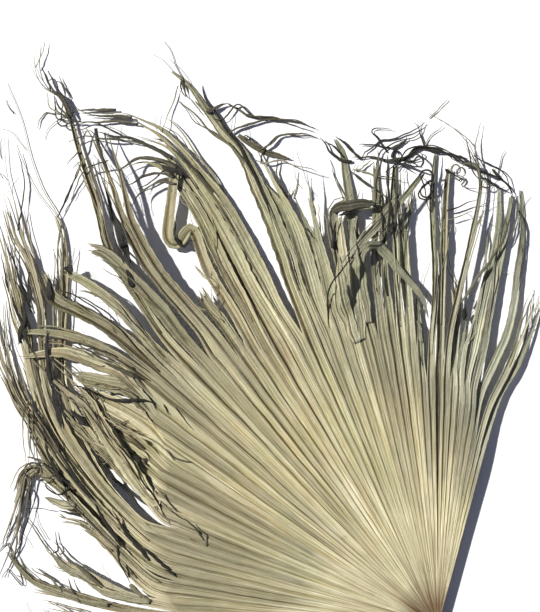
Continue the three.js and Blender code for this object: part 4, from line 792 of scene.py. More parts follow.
def segment_points(route, s, across):
    """Points of a segment at shares of its length and pleat numbers, and their marks of the fold: the row
    across turns and folds about the line, its borders are torn and curl, and the line wanders a little."""
    wide, seed, run = route.spec["wide"], route.pleat, s * route.length
    half = (across - route.pleat) / route.pleats - 0.5
    free = smooth(s, route.root, WIDE_AT)
    width = segment_width(route, s)
    sway = smooth(s, route.root, 0.5) * 0.3 * ripple(run / 700, seed + 60)
    turn = math.radians(route.spec["roll"]) * smooth(s, route.root, TURNED_AT) + sway
    height, mark = fold_shape(across, free)
    root_depth = FAN_FOLD[0] * fold_depth(route.middle, route.start)
    depth = lerp(root_depth, 0.2 * wide / route.pleats, free) * (1 - 0.5 * s)
    depth = depth * lerp(1, np.minimum(width / wide, 1), free)
    torn = lerp(0.035, 0.06, smooth(seed, 30, 37)) * free * ripple(run / 22, seed + 90 + (half > 0))
    aside = (half + torn * np.sign(half) * np.abs(2 * half) ** 6) * width
    curl = 0.05 * width * free * ripple(run / 360, seed + 70 + (half > 0))
    out = height * depth + curl * np.abs(2 * half) ** 3
    wander = 0.8 * free * ripple(run / 500, seed + 50)
    level = aside * np.cos(turn) - out * np.sin(turn) + wander
    rise = aside * np.sin(turn) + out * np.cos(turn)
    points = leftwards(route.ahead(s)) * level[..., None]
    points[..., :2] += route.place(s)
    points[..., 2] = np.clip(route.height(s) + rise, LOWEST, HIGHEST)
    # Where the segment is free its borders get a mark over 1, on which the material paints a shade outline
    return points, mark + free * (np.abs(half) > 0.499)


def add_segment(sheet, route, rim_numbers, rim_points):
    """Adds a segment that grows on from the fan's rim: the joined part, and then two prongs that part at its
    middle, or a torn end. What the rim's points differ by from the segment's fades over RIM_FADE."""
    spec, pleats, seed = route.spec, route.pleats, route.pleat
    columns = pleats * ACROSS + 1
    across = route.pleat + np.linspace(0, pleats, columns)
    rows = int(np.clip(route.length / ROW_LENGTH, *SEGMENT_ROWS))
    begin = (np.linalg.norm(rim_points[:, :2], axis=1) - route.start) / route.length
    offset = rim_points - segment_points(route, begin, across)[0]

    def stretch(first, last, count, pick=slice(None)):
        """Rows from one share of the free length to another."""
        w = np.linspace(first, last, count + 1)[1:, None]
        s = lerp(begin[None, pick], 1, w)
        points, mark = segment_points(route, s, across[pick] + 0 * s)
        points += offset[None, pick] * (1 - smooth(w * route.length, 0, RIM_FADE))[..., None]
        along = route.start + s * route.length
        return w, s, points, leaf_marks(across[pick] + 0 * s, along, mark + 0 * s, s)

    torn = "tip" in spec
    fork = 1.0 if torn else spec.get("fork", float(lerp(FORK_EARLY, FORK_LATE, draw(seed))))
    w, s, points, marks = stretch(0, fork, max(6, int(rows * fork)))
    if torn:
        column = np.arange(columns)
        shred = draw(column * 3 + seed) * TORN_DEPTH + 9 * ripple(column / columns, seed, 2)
        shred = shred * min(0.8, spec["tip"] / 16)
        points[..., :2] -= route.ahead(s) * (shred * smooth(w, TORN_FROM, 1) ** 1.5)[..., None]
    numbers = sheet.add(points, marks)
    sheet.join(np.vstack([rim_numbers, numbers]))
    if torn:
        return
    middle = (columns - 1) // 2
    shorter = -1 if draw(seed + 7) < 0.5 else 1
    for side, pick in ((-1, slice(0, middle + 1)), (1, slice(middle, columns))):
        last = PRONG_SHORTER if side == shorter else 1
        w, s, points, marks = stretch(fork, last, max(6, int(rows * (1 - fork))), pick)
        gone = (w - fork) / (last - fork)
        centre = (points[:, :1] + points[:, -1:]) / 2
        reach = PRONG_SPREAD * spec.get("spread", 1) * lerp(0.25, 1, draw(seed + 90 + side)) * gone ** 1.4
        reach = reach * side + 2.5 * gone * ripple(gone, seed + 30 + side, 0.4)
        narrowed = lerp(points, centre, (0.88 * gone ** 1.3)[..., None])
        points = narrowed + leftwards(route.ahead(s)) * reach[..., None]
        points[..., 2] = np.clip(points[..., 2], LOWEST, HIGHEST)
        sheet.join(np.vstack([numbers[-1:, pick], sheet.add(points, marks)]))


# The highest point of the sectors in each cell of a map of the leaf, or the floor
CELL = 4
MAP_CORNER = (-760, -300)
MAP_CELLS = (270, 320)
HEIGHTS = np.zeros(MAP_CELLS)


def cell(x, y):
    """The cell of the map in which each place lies, inside its outermost row."""
    return [np.clip((value - low) // CELL, 1, count - 2).astype(int)
            for value, low, count in zip((x, y), MAP_CORNER, MAP_CELLS)]


def carried(x, y):
    """Height of what lies under each place: the highest in its cell of the map and the eight round it."""
    i, j = cell(x, y)
    return np.max([HEIGHTS[i + a, j + b] for a in (-1, 0, 1) for b in (-1, 0, 1)], axis=0)


def sector(name, first, last, material):
    """A closed sheet of the pleats from first to last, with their segments, which also goes into the map."""
    across = np.linspace(first, last, (last - first) * ACROSS + 1)
    points, marks = fan_grid(across)
    sheet = Sheet()
    numbers = sheet.add(points, marks)
    sheet.join(numbers)
    for route in ROUTES.values():
        if first <= route.pleat < last:
            begin = (route.pleat - first) * ACROSS
            pick = slice(begin, begin + route.pleats * ACROSS + 1)
            add_segment(sheet, route, numbers[-1:, pick], points[-1, pick])
    x, y, z = np.vstack(sheet.points).T
    np.maximum.at(HEIGHTS, tuple(cell(x, y)), z)
    thickness = np.where(np.arange(sheet.count) < points[..., 0].size, FAN_SHEET, SHEET)
    leaf_piece(name, sheet, thickness, material)


# Splinters, threads and hairs. Each pair is the least and the most that is drawn.

SPLINTER_BEGIN = (0.08, 0.6)  # shares of the segment's length at which it begins and ends
SPLINTER_END = (0.7, 0.95)
SPLINTER_REACH = (0.2, 1.2)  # how far it moves aside, in widths of the segment
SPLINTER_BEND = (0.6, 2.0)  # power of how far it has gone with which it does so
SPLINTER_WIDTH = (1.2, 6.5)
HAIR_BEGIN = (0.35, 1.0)
HAIR_SLANT = (0.05, 0.5)  # radians off the segment's direction
HAIR_LENGTH = (15, 60)
HAIR_BEND = 1.1  # most that it turns in all, either way
HAIR_WIDTH = (0.5, 1.3)
HAIR_LIGHT = (-0.95, -0.3)


def splinter(sheet, route, seed):
    """Adds a narrow strip that peels off along a segment.

    It leaves the segment's line at a drawn share, moves aside by a power of how far it has gone, lifts or
    sinks in an arc, and tapers at both ends.
    """
    wide = route.spec["wide"]
    begin = lerp(*SPLINTER_BEGIN, draw(seed))
    finish = min(lerp(*SPLINTER_END, draw(seed + 0.2)), route.spec.get("bare", 1))
    rows = int(np.clip((finish - begin) * route.length / 8, 10, 60))
    gone = np.linspace(0, 1, rows)[:, None]
    t = np.linspace(0, 1, 5)[None, :]
    half = t - 0.5
    s = lerp(begin, finish, gone) + 0 * t
    side = 1 if draw(seed + 0.4) < 0.5 else -1
    reach = side * lerp(*SPLINTER_REACH, draw(seed + 0.6)) * wide
    aside = reach * gone ** lerp(*SPLINTER_BEND, draw(seed + 0.7))
    aside = aside + 0.3 * wide * gone * ripple(gone * 0.9, seed + 3)
    broadest = lerp(*SPLINTER_WIDTH, draw(seed + 0.8) ** 1.8)
    width = broadest * (1 - gone) ** 0.45 * smooth(gone, -0.15, 0.12) + 0.5
    turn = 0.9 * ripple(gone, seed + 5, 0.5)
    points = leftwards(route.ahead(s)) * (aside + half * width * np.cos(turn))[..., None]
    points[..., :2] += route.place(s)
    lift = 7 * (draw(seed + 0.9) - 0.4) * np.sin(math.pi * gone) + 2 * ripple(gone, seed + 8, 1.2) * gone
    bent = half * width * np.sin(turn) - 0.12 * width * (1 - 4 * half ** 2)
    points[..., 2] = np.clip(route.height(s) + lift + bent, LOWEST, HIGHEST)
    fold = 1 - 2 * np.abs(2 * half) + 0 * s
    marks = leaf_marks(route.pleat + t + 0 * s, route.start + s * route.length, fold, s)
    marks[..., -1] += 1.1 * (draw(seed + 0.3) - 0.5)
    sheet.grid(points, marks)


def splinters(name, material):
    """The splinters of all segments, as many along each as its pleat has."""
    sheet = Sheet()
    for route in ROUTES.values():
        for k in range(int(round(listed(route.pleat, SPLINTERS)))):
            splinter(sheet, route, 1000 + 20 * route.pleat + k)
    leaf_piece(name, sheet, np.full(sheet.count, SPLINTER_SHEET), material)


def strip(sheet, centre, width, turn, marks, broad=False):
    """Adds a strip along a line of points, turned about it row by row, with one ridge, or with three low ones
    where it is broad."""
    columns, ridges, relief = (12, 3, 0.06) if broad else (3, 1, 0.12)
    ahead = np.gradient(centre[:, :2], axis=0)
    ahead /= np.maximum(np.linalg.norm(ahead, axis=1, keepdims=True), 1e-9)
    t = np.linspace(-0.5, 0.5, columns)[None, :]
    ridge = np.abs((t * ridges + 0.5) % 1 - 0.5) * 2
    half, out = t * width[:, None], -relief * width[:, None] * ridge
    across, up = np.cos(turn)[:, None], np.sin(turn)[:, None]
    points = leftwards(ahead)[:, None] * (half * across - out * up)[..., None]
    points[..., :2] += centre[:, None, :2]
    points[..., 2] = np.clip(centre[:, None, 2] + half * up + out * across, LOWEST, HIGHEST)
    # The borders get a mark over 1, on which the material paints a shade outline
    fold = 1 - 2 * ridge + (np.abs(t) > 0.499) * 2.2 + 0 * half
    pleat, along, dry, brown, light = marks
    sheet.grid(points, np.stack(np.broadcast_arrays(pleat + t, along, fold, dry, brown, light), -1))


def thread_strand(spec):
    """A thread as a strand: width, height of the far end, darkness, and route from its segment's line."""
    x, y = ROUTES[spec["on"]].place(np.array(spec["at"]))
    dark = WIDE_THREAD_DARK if "wide" in spec else THREAD_DARK
    return spec.get("wide", THREAD_WIDTH) * THREAD_THINNED, spec["end"], dark, [(x, y), *spec["way"]]


def lay_strand(sheet, k, wide, end, dark, way):
    """Adds a traced strand, which is lifted over what it crosses and eased between, wanders a little and
    narrows to its end. One that is painted shadow, laid for the shade between segments, lies close on what is
    under it."""
    broad, painted_shadow = wide > BROAD_FROM, dark > PAINTED_SHADOW_FROM
    points, gone = trace(way)
    length = gone[-1]
    share = np.linspace(0, 1, max(8, int(length / STRAND_STEP)))
    x, y = (np.interp(share * length, gone, points[:, i]) for i in (0, 1))
    under = carried(x, y) + (PAINTED_SHADOW_LIFT if painted_shadow else STRAND_LIFT)
    lifted = under if painted_shadow else np.maximum(under, lerp(under[0], end, share))
    for _ in range(EASINGS):
        lifted = np.maximum(under, np.convolve(np.pad(lifted, 2, "edge"), np.full(5, 0.2), "valid"))
    centre = np.stack([x, y, lifted], 1)
    centre[:, :2] += 0.8 * np.stack([ripple(share * 2, k), ripple(share * 2, k + 9)], 1) * share[:, None]
    along = share * length / 45
    centre[:, :2] += 0.7 * np.stack([ripple(along, k + 21), ripple(along, k + 29)], 1)
    width = lerp((1 if broad else 1.25) * wide, 0.6, share ** (2.2 if painted_shadow or not broad else 5))
    width = width * lerp(0.1 if painted_shadow else 0.7, 1, smooth(share, 0, 0.25 if painted_shadow else 0.15))
    width = width * (1 + 0.15 * ripple(share * length / 90, k + 2))
    turn = (0.2 if broad or painted_shadow else 0.8) * ripple(share, k + 4, 0.8)
    cool = lerp(-0.6, 0.2, smooth(-x[:, None], 60, 200))
    run = 0.5 + share[:, None] * length / 1000
    light = 0.15 * draw(k) - dark
    strip(sheet, centre, width, turn, (k % PLEATS + 0.5, run, 0.85, cool, light), broad)


def lay_hair(sheet, route, random):
    """Adds a fine hair that leaves a segment at a slant and bends at a drawn rate."""
    share = np.linspace(0, 1, 13)
    at = random.uniform(*HAIR_BEGIN)
    ahead = route.ahead(np.array(at))
    slant = math.atan2(ahead[1], ahead[0]) + random.choice((-1, 1)) * random.uniform(*HAIR_SLANT)
    length = random.uniform(*HAIR_LENGTH) * (0.6 + 0.6 * at)
    bend = random.uniform(-HAIR_BEND, HAIR_BEND)
    heading = slant + bend * share + 0.3 * ripple(share, random.uniform(0, 99), 0.8)
    steps = length / 12 * np.stack([np.cos(heading), np.sin(heading)], 1)
    place = route.place(np.array(at)) + np.cumsum(steps, axis=0) - steps[0]
    root = float(route.height(at))
    z = lerp(root, random.uniform(0.8, max(1.2, root)), share)
    width = random.uniform(*HAIR_WIDTH) * (1 - 0.75 * share)
    light = random.uniform(*HAIR_LIGHT)
    run = 0.6 + share[:, None] * length / 1000
    strip(sheet, np.column_stack([place, z]), width, 0 * share, (route.pleat + 0.5, run, 0.8, 0.1, light))


def strands(name, material):
    """The traced threads and strands, and the hairs of all segments, more on the long ones."""
    sheet = Sheet()
    for k, traced in enumerate([thread_strand(spec) for spec in THREADS] + STRANDS):
        lay_strand(sheet, k, *traced)
    random = np.random.default_rng(11)
    for route in ROUTES.values():
        for _ in range(int(2 + route.length / 200)):
            lay_hair(sheet, route, random)
    leaf_piece(name, sheet, np.full(sheet.count, THREAD_SHEET), material)


# The stalk, with the sizes of its solid

STALK_END = -185
RIB_START = 8  # beyond it the stalk narrows to a rib under the pleats
RIB_END = 88
RIB_WIDTH = 5
RIB_THICKNESS = 3.2
RIB_DROP = 0.6  # the rib's top lies lower than the stalk's by this much
STALK_WIDTH = 27
FLARE = 4  # the stalk widens by this much towards the hub
FLARE_START = -90
STALK_TOP = 15.4
STALK_LIFT = 1.5  # height of the cut end over the surface
SPOT_START = -20  # the stalk rests on a flat spot from here to the hub
ROUNDNESS = 2.6  # power of its rounded box
LIP_RADIUS = 14
LIP_TOP = 21
LIP_PROFILE = [  # share of the radius and height, from the foot to the sunk middle
    (0.86, 11.2), (0.98, 14), (1.02, 17), (0.97, 19.2), (0.84, 20.5), (0.66, 20.9), (0.45, 20.2), (0.2, 19.2),
    (0.04, 19.0),
]


def closed_rings(rings):
    """Points and faces of rings that are joined one after another and closed by a fan at each end."""
    rows, sides = rings.shape[:2]
    side = np.arange(sides)
    beside = (side + 1) % sides
    first = (np.arange(rows - 1) * sides)[:, None]
    a, b = first + side, first + beside
    skin = np.vstack([np.stack([a, b, b + sides], -1), np.stack([a, b + sides, a + sides], -1)])
    points = np.vstack([rings.reshape(-1, 3), rings[0].mean(0), rings[-1].mean(0)])
    last = (rows - 1) * sides
    near_end = np.stack([0 * side + rows * sides, beside, side], 1)
    far_end = np.stack([0 * side + rows * sides + 1, last + side, last + beside], 1)
    return points, np.vstack([skin.reshape(-1, 3), near_end, far_end])


def stalk_rings():
    """Rings along Y: each is a rounded box by angle, flat below, round at the sides and slightly hollow
    above, with fine lengthwise ribs."""
    y = np.linspace(STALK_END, RIB_END, STALK_ROWS)[:, None]
    angle = np.linspace(0, 2 * math.pi, RING_SIDES, endpoint=False)[None, :]
    rib = smooth(y, RIB_START, RIB_END)
    lift = STALK_LIFT * smooth(-y, -SPOT_START, -STALK_END)
    width = lerp(STALK_WIDTH + FLARE * smooth(y, FLARE_START, 0), RIB_WIDTH, rib)
    top = STALK_TOP + lift - RIB_DROP * rib
    bottom = lerp(lift, top - RIB_THICKNESS, rib)
    box = (np.abs(np.cos(angle)) ** ROUNDNESS + np.abs(np.sin(angle)) ** ROUNDNESS) ** (-1 / ROUNDNESS)
    x, z = box * np.cos(angle), box * np.sin(angle)
    hollow = 0.06 * np.exp(-(x / 0.35) ** 2) * (z > 0)
    ribs = 1 + 0.012 * ripple(angle / (2 * math.pi), 71, 24) + 0.008 * ripple(y / 60 + 0 * angle, 72)
    x, z = x * ribs, z * ribs - hollow
    height = np.maximum((bottom + top) / 2 + z * (top - bottom) / 2, FACE_LOWEST)
    return np.stack([x * width / 2, y + 0 * x, height], -1)


def lip_rings():
    """The collar between stalk and pleats, a low boss with a sunk middle: rings of the radii and heights in
    LIP_PROFILE, both of which wave a little round the ring."""
    angle = np.linspace(0, 2 * math.pi, RING_SIDES, endpoint=False)[None, :]
    share, height = np.array(LIP_PROFILE).T[..., None]
    r = share * LIP_RADIUS * (1 + 0.05 * ripple(angle / (2 * math.pi), 81, 7) * share)
    z = height + 0.5 * ripple(angle / (2 * math.pi), 85, 9) * share
    return np.stack([r * np.cos(angle), r * np.sin(angle), np.minimum(z, LIP_TOP)], -1)


def stalk_piece(name, rings, material):
    """A stalk piece from its rings, whose marks run round it and along it."""
    points, faces = closed_rings(rings)
    around = np.append(np.tile(np.arange(rings.shape[1]), rings.shape[0]), [0, 0]) / 4.0
    marks = np.stack(np.broadcast_arrays(around, points[:, 1] / 1000, 0, 0, 0.2, 0.0), -1)
    make_piece(name, points / 1000, faces, marks, material, "petiole")


# Nodes of the materials

def colour(red, green, blue):
    """A display colour as the light values that a shader takes."""
    shares = (value / 255 for value in (red, green, blue))
    return (*(c / 12.92 if c <= 0.04045 else ((c + 0.055) / 1.055) ** 2.4 for c in shares), 1.0)


def add(tree, kind, values=(), **settings):
    """A node with its settings, whose inputs get a value or the socket that feeds them."""
    made = tree.nodes.new(kind)
    for key, value in settings.items():
        setattr(made, key, value)
    for key, value in dict(values).items():
        if isinstance(value, bpy.types.NodeSocket):
            tree.links.new(value, made.inputs[key])
        else:
            made.inputs[key].default_value = value
    return made


def use(tree, group, **values):
    """The outputs of a group that is placed in a material."""
    return add(tree, "ShaderNodeGroup", values, node_tree=group).outputs


def blend(tree, factor, a, b):
    """The colour at a share of the way from a to b."""
    return add(tree, "ShaderNodeMix", {0: factor, 6: a, 7: b}, data_type="RGBA").outputs[2]


def plus(tree, a, b):
    """The sum of two values."""
    return add(tree, "ShaderNodeMath", {0: a, 1: b}, operation="ADD").outputs[0]


def times(tree, a, b):
    """The product of two values."""
    return add(tree, "ShaderNodeMath", {0: a, 1: b}, operation="MULTIPLY").outputs[0]


def scaled(tree, value, low, high, to_low=0.0, to_high=1.0):
    """A value whose range from low to high goes over to another, and is held at its ends."""
    return add(tree, "ShaderNodeMapRange", {0: value, 1: low, 2: high, 3: to_low, 4: to_high}).outputs[0]


def clamped(tree, value):
    """A value held between 0 and 1."""
    return add(tree, "ShaderNodeClamp", {0: value}).outputs[0]


def noise(tree, vector, scale, detail, roughness):
    """Clouded noise of about 0.3 to 0.7."""
    values = {"Vector": vector, "Scale": scale, "Detail": detail, "Roughness": roughness}
    return add(tree, "ShaderNodeTexNoise", values).outputs["Fac"]


def tinted(tree, base, *tints):
    """A colour with tints laid on it one after another: each is a mask, the share of it and the tint."""
    for mask, share, tint in tints:
        base = blend(tree, times(tree, mask, share), base, colour(*tint))
    return base


def new_group(name, inputs, outputs):
    """An empty node group and its ends. An input has its value, or takes a vector where there is none."""
    tree = bpy.data.node_groups.new(name, "ShaderNodeTree")
    for label, value in inputs.items():
        kind = "NodeSocketVector" if value is None else "NodeSocketFloat"
        socket = tree.interface.new_socket(label, in_out="INPUT", socket_type=kind)
        if value is not None:
            socket.default_value = value
    for label in outputs:
        tree.interface.new_socket(label, in_out="OUTPUT", socket_type="NodeSocketFloat")
    return tree, tree.nodes.new("NodeGroupInput").outputs, tree.nodes.new("NodeGroupOutput").inputs


def fibre_group():
    """Fibres: noise drawn out along the run, once broad and once fine."""
    inputs = {"Vector": None, "Across": 3.0, "Along": 6.0}
    tree, given, result = new_group("fibre", inputs, ["Broad", "Fine"])
    parts = add(tree, "ShaderNodeSeparateXYZ", {0: given["Vector"]}).outputs
    for label, more in (("Broad", 1.0), ("Fine", 3.7)):
        x = times(tree, times(tree, parts[0], given["Across"]), more)
        y = times(tree, times(tree, parts[1], given["Along"]), more)
        place = add(tree, "ShaderNodeCombineXYZ", {0: x, 1: y}).outputs[0]
        tree.links.new(scaled(tree, noise(tree, place, 1.0, 3.0, 0.6), 0.3, 0.7), result[label])
    return tree


def patch_group():
    """Patches: clouded noise cut off at a level, 0 outside and 1 inside."""
    inputs = {"Vector": None, "Scale": 20.0, "Level": 0.55, "Edge": 0.08}
    tree, given, result = new_group("patch", inputs, ["Mask"])
    cloud = noise(tree, given["Vector"], given["Scale"], 4.0, 0.65)
    top = plus(tree, given["Level"], given["Edge"])
    tree.links.new(scaled(tree, cloud, given["Level"], top), result["Mask"])
    return tree


FIBRE = fibre_group()
PATCH = patch_group()


def blank(name):
    """A material with a lone shader."""
    material = bpy.data.materials.new(name)
    material.use_nodes = True
    tree = material.node_tree
    tree.nodes.clear()
    shader = add(tree, "ShaderNodeBsdfPrincipled")
    add(tree, "ShaderNodeOutputMaterial", {"Surface": shader.outputs[0]})
    return material, tree, shader


# Materials

# The leaf's fibres: how quickly each kind changes across, by pleat, and along, by metre
FIBRES = {
    "fibre": (5.0, 9.0),
    "broad": (1.3, 5.0),
    "blotch": (0.8, 16.0),
    "lines": (11.0, 3.0),
    "streak": (2.4, 7.0),
    "level": (0.9, 6.0),
    "ray": (0.5, 5.0),
}


def straw(tree, fibres, out):
    """Straw with green, rosy and ochre patches, pale and brown streaks, and stronger ones near the hub."""
    fibre, broad, blotch, streak = (fibres[kind] for kind in ("fibre", "broad", "blotch", "streak"))
    level = fibres["level"]["Broad"]
    near = scaled(tree, out, 0.34, 0.12)
    return tinted(
        tree, blend(tree, fibre["Broad"], colour(148, 134, 86), colour(222, 211, 166)),
        (broad["Broad"], 0.6, (172, 176, 124)),
        (broad["Fine"], 0.34, (206, 170, 124)),
        (scaled(tree, blotch["Broad"], 0.45, 1.0), 0.7, (204, 184, 124)),
        (scaled(tree, blotch["Fine"], 0.55, 1.0), 0.5, (198, 158, 100)),
        (scaled(tree, streak["Broad"], 0.55, 1.0), 0.8, (246, 238, 200)),
        (scaled(tree, streak["Broad"], 0.36, 0.0), 0.7, (112, 94, 48)),
        (scaled(tree, streak["Fine"], 0.6, 1.0), 0.6, (250, 243, 210)),
        (times(tree, near, scaled(tree, level, 0.5, 0.9)), 0.75, (250, 243, 208)),
        (times(tree, near, scaled(tree, level, 0.42, 0.05)), 0.6, (134, 110, 60)),
        (times(tree, near, scaled(tree, streak["Broad"], 0.5, 0.8)), 0.7, (255, 250, 222)),
        (times(tree, near, scaled(tree, streak["Broad"], 0.4, 0.1)), 0.7, (120, 96, 50)),
    )


def grey_green(tree, fibres):
    """The tissue of the free segments: grey green with pale streaks and dull yellow and rosy patches."""
    fibre, broad, blotch, streak = (fibres[kind] for kind in ("fibre", "broad", "blotch", "streak"))
    return tinted(
        tree, blend(tree, fibre["Broad"], colour(74, 76, 54), colour(188, 187, 156)),
        (broad["Broad"], 0.5, (118, 128, 112)),
        (scaled(tree, streak["Fine"], 0.58, 1.0), 0.7, (224, 222, 196)),
        (scaled(tree, blotch["Broad"], 0.5, 1.0), 0.5, (150, 142, 92)),
        (scaled(tree, blotch["Fine"], 0.5, 1.0), 0.4, (178, 152, 120)),
    )


def tissue(tree, fibres, here, out, dry, brown):
    """Straw that turns grey green where it is dry, then earthy where it is brown, or cool where that mark is
    below zero, with patches of pale green, ochre and grey."""

    def patch(scale, level, edge):
        """The mask of patches in the leaf's own place."""
        return use(tree, PATCH, Vector=here, Scale=scale, Level=level, Edge=edge)["Mask"]

    fibre, blotch = fibres["fibre"]["Broad"], fibres["blotch"]["Fine"]
    mottle = patch(9.0, 0.38, 0.3)
    dried = clamped(tree, plus(tree, dry, scaled(tree, mottle, 0.0, 1.0, -0.22, 0.22)))
    earthy = clamped(tree, times(tree, brown, scaled(tree, mottle, 0.0, 1.0, 0.6, 1.5)))
    earth = tinted(
        tree, blend(tree, fibre, colour(92, 76, 54), colour(226, 212, 182)),
        (scaled(tree, blotch, 0.5, 1.0), 0.5, (186, 150, 128)),
    )
    cool = blend(tree, fibre, colour(88, 96, 88), colour(176, 183, 168))
    base = blend(tree, dried, straw(tree, fibres, out), grey_green(tree, fibres))
    base = blend(tree, earthy, base, earth)
    base = blend(tree, times(tree, scaled(tree, brown, 0.0, -1.0), 0.8), base, cool)
    return tinted(
        tree, base,
        (patch(13.0, 0.42, 0.25), 0.4, (158, 170, 120)),
        (patch(26.0, 0.66, 0.05), 0.4, (168, 134, 72)),
        (times(tree, patch(15.0, 0.6, 0.1), dry), 0.5, (96, 98, 92)),
    )


def creased(tree, base, fibres, out, fold, dry, light):
    """Tissue with painted shade, and some dirt, in the creases and dark fine lines, a painted highlight on
    the folds' edges and a painted shade outline along the borders of segments and strands, darkened or
    lightened by its mark, and brown at the hub and in rays round it."""
    fibre, fine = fibres["fibre"]["Fine"], fibres["broad"]["Fine"]
    lines, ray = fibres["lines"]["Broad"], fibres["ray"]["Broad"]
    # Painted shade, with some dirt: the valleys of the folds are darkened where shade falls in them
    painted_crease_shade = times(tree, scaled(tree, fold, -0.4, -0.95), scaled(tree, fine, 0.1, 0.8, 0.4, 1.0))
    line = times(tree, scaled(tree, lines, 0.4, 0.12), scaled(tree, dry, 0.0, 0.6, 0.55, 0.95))
    # Painted highlight: the folds' edges are paler, as where light catches the ridges
    edge = times(tree, scaled(tree, fold, 0.72, 1.0), scaled(tree, fold, 1.3, 1.05))
    # Painted shade: a dark outline along the borders of free segments and strands
    border = times(tree, scaled(tree, fold, 1.1, 1.7), scaled(tree, fibre, 0.1, 0.7, 0.3, 1.0))
    rays = times(tree, scaled(tree, out, 0.16, 0.03), scaled(tree, ray, 0.4, 0.8))
    hub = times(tree, scaled(tree, out, 0.075, 0.032), scaled(tree, ray, 0.0, 1.0, 0.6, 1.0))
    return tinted(
        tree, base,
        # Painted shade in the creases, near black in the deepest valleys
        (painted_crease_shade, 0.88, (96, 68, 22)),
        (scaled(tree, fold, -1.0, -1.4), 0.9, (30, 24, 8)),
        (line, 1.0, (82, 66, 30)),
        (scaled(tree, lines, 0.6, 0.85), 0.65, (248, 240, 206)),
        # Painted highlight on the folds' edges
        (edge, 0.45, (240, 230, 190)),
        # Painted shade outline along the borders
        (border, 0.6, (46, 40, 26)),
        (scaled(tree, light, 0.0, -0.6), 0.6, (60, 54, 32)),
        # Near black: the threads' dark colour with painted shade, and the painted shadow strips between
        # segments
        (scaled(tree, light, -0.35, -0.75), 0.96, (24, 22, 16)),
        (scaled(tree, light, 0.0, 1.0), 0.6, (238, 228, 186)),
        (rays, 0.9, (126, 86, 44)),
        (hub, 1.0, (98, 62, 28)),
    )


def leaf_material():
    """Dried tissue, with the relief of its fibres and, where it is dry, a crumpled surface."""
    material, tree, shader = blank("dried_leaf")
    run = add(tree, "ShaderNodeUVMap", uv_map="run").outputs[0]
    here = add(tree, "ShaderNodeTexCoord").outputs["Object"]
    fold, dry, brown, light = (
        add(tree, "ShaderNodeAttribute", attribute_name=mark).outputs["Fac"] for mark in MARKS
    )
    fibres = {kind: use(tree, FIBRE, Vector=run, Across=across, Along=along)
              for kind, (across, along) in FIBRES.items()}
    out = add(tree, "ShaderNodeSeparateXYZ", {0: run}).outputs[1]
    base = creased(tree, tissue(tree, fibres, here, out, dry, brown), fibres, out, fold, dry, light)
    tree.links.new(base, shader.inputs["Base Color"])
    rough = scaled(tree, fibres["fibre"]["Broad"], 0.0, 1.0, 0.72, 0.5)
    tree.links.new(rough, shader.inputs["Roughness"])
    relief = plus(tree, fibres["lines"]["Broad"], times(tree, fibres["fibre"]["Fine"], 0.6))
    bump = add(tree, "ShaderNodeBump", {"Strength": 0.9, "Distance": 0.0007, "Height": relief})
    crumple = times(tree, noise(tree, here, 70.0, 5.0, 0.6), dry)
    bumps = {"Strength": 0.8, "Distance": 0.0035, "Height": crumple, "Normal": bump.outputs[0]}
    tree.links.new(add(tree, "ShaderNodeBump", bumps).outputs[0], shader.inputs["Normal"])
    return material


def stalk_material():
    """Dry wood: tan with dark lengthwise fibres, brown near the collar, and scuffed patches."""
    material, tree, shader = blank("dried_stalk")
    run = add(tree, "ShaderNodeUVMap", uv_map="run").outputs[0]
    here = add(tree, "ShaderNodeTexCoord").outputs["Object"]
    fibre = use(tree, FIBRE, Vector=run, Across=1.1, Along=16.0)
    scuff = use(tree, PATCH, Vector=here, Scale=60.0, Level=0.55, Edge=0.1)["Mask"]
    along = add(tree, "ShaderNodeSeparateXYZ", {0: here}).outputs[1]
    wood = tinted(
        tree, blend(tree, fibre["Broad"], colour(112, 84, 50), colour(178, 148, 100)),
        (scuff, 0.45, (196, 172, 128)),
        (scaled(tree, along, -0.05, 0.02), 0.6, (134, 88, 46)),
    )
    tree.links.new(wood, shader.inputs["Base Color"])
    tree.links.new(scaled(tree, fibre["Fine"], 0.0, 1.0, 0.75, 0.5), shader.inputs["Roughness"])
    relief = plus(tree, fibre["Broad"], fibre["Fine"])
    bump = add(tree, "ShaderNodeBump", {"Strength": 0.6, "Distance": 0.0006, "Height": relief})
    tree.links.new(bump.outputs[0], shader.inputs["Normal"])
    return material


def floor_material():
    """Plain matt white."""
    material, _, shader = blank("pale_floor")
    shader.inputs["Base Color"].default_value = (0.9, 0.9, 0.9, 1)
    shader.inputs["Roughness"].default_value = 0.9
    return material


# The scene, in metres

CAMERA_ABOVE = 2.2  # the camera's height over the leaf
LEAF_MIDDLE = 0.017  # and the height of the leaf's middle
VIEW_WIDTH = 0.81  # what the picture shows across at that height
VIEW_CENTRE = (-0.252, 0.480)  # in the lie of the routes
SENSOR = 36  # in millimetres
SUN_STRENGTH = 5.5
SUN_SPREAD = 2.5  # its width in the sky, in degrees
SUN_HEIGHT = 43  # in degrees over the floor
SUN_TRAVEL = (0.925, -0.38)  # the way of its light over the floor, in the lie of the routes
SKY_STRENGTH = 0.17
FLOOR_REACH = 40


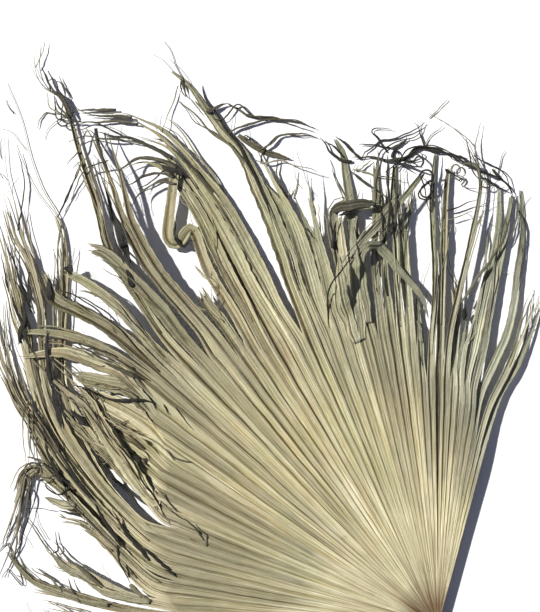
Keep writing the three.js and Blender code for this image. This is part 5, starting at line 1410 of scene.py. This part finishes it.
def camera():
    """Straight above the leaf, with the routes' x to the right."""
    lens = bpy.data.cameras.new("camera")
    lens.sensor_fit = "HORIZONTAL"
    lens.sensor_width = SENSOR
    lens.lens = SENSOR * CAMERA_ABOVE / VIEW_WIDTH
    lens.clip_end = 50
    seen = bpy.data.objects.new("camera", lens)
    seen.location = in_frame(*VIEW_CENTRE, CAMERA_ABOVE + LEAF_MIDDLE)
    seen.rotation_euler = (0, 0, TURN)
    bpy.context.scene.collection.objects.link(seen)
    bpy.context.scene.camera = seen


def lights():
    """One sun from the left and a little above, and a pale blue sky."""
    sun = bpy.data.lights.new("sun", "SUN")
    sun.energy = SUN_STRENGTH
    sun.angle = math.radians(SUN_SPREAD)
    sun.color = (1.0, 0.98, 0.94)
    lamp = bpy.data.objects.new("sun", sun)
    high = math.radians(SUN_HEIGHT)
    x, y = SUN_TRAVEL
    travel = in_frame(x * math.cos(high), y * math.cos(high), -math.sin(high))
    lamp.rotation_euler = Vector(travel).to_track_quat("-Z", "Y").to_euler()
    bpy.context.scene.collection.objects.link(lamp)
    world = bpy.data.worlds.new("sky")
    bpy.context.scene.world = world
    world.use_nodes = True
    back = world.node_tree.nodes["Background"]
    back.inputs["Color"].default_value = (0.64, 0.7, 1.0, 1)
    back.inputs["Strength"].default_value = SKY_STRENGTH
    bpy.context.scene.view_settings.view_transform = "Standard"


def floor():
    """A square of the floor, wide enough for every view."""
    corners = [(x * FLOOR_REACH, y * FLOOR_REACH, 0) for x, y in ((-1, -1), (1, -1), (1, 1), (-1, 1))]
    mesh = bpy.data.meshes.new("floor")
    mesh.from_pydata(corners, [], [(0, 1, 2, 3)])
    mesh.materials.append(floor_material())
    ground = bpy.data.objects.new("floor", mesh)
    bpy.context.scene.collection.objects.link(ground)


camera()
lights()
floor()
LEAF = leaf_material()
WOOD = stalk_material()
# The sectors come first, because the strands lie on the map that they fill
for name, first, last in SECTORS:
    sector("pleats_" + name, first, last, LEAF)
splinters("splinters", LEAF)
strands("threads", LEAF)
stalk_piece("stalk_body", stalk_rings(), WOOD)
stalk_piece("stalk_collar", lip_rings(), WOOD)
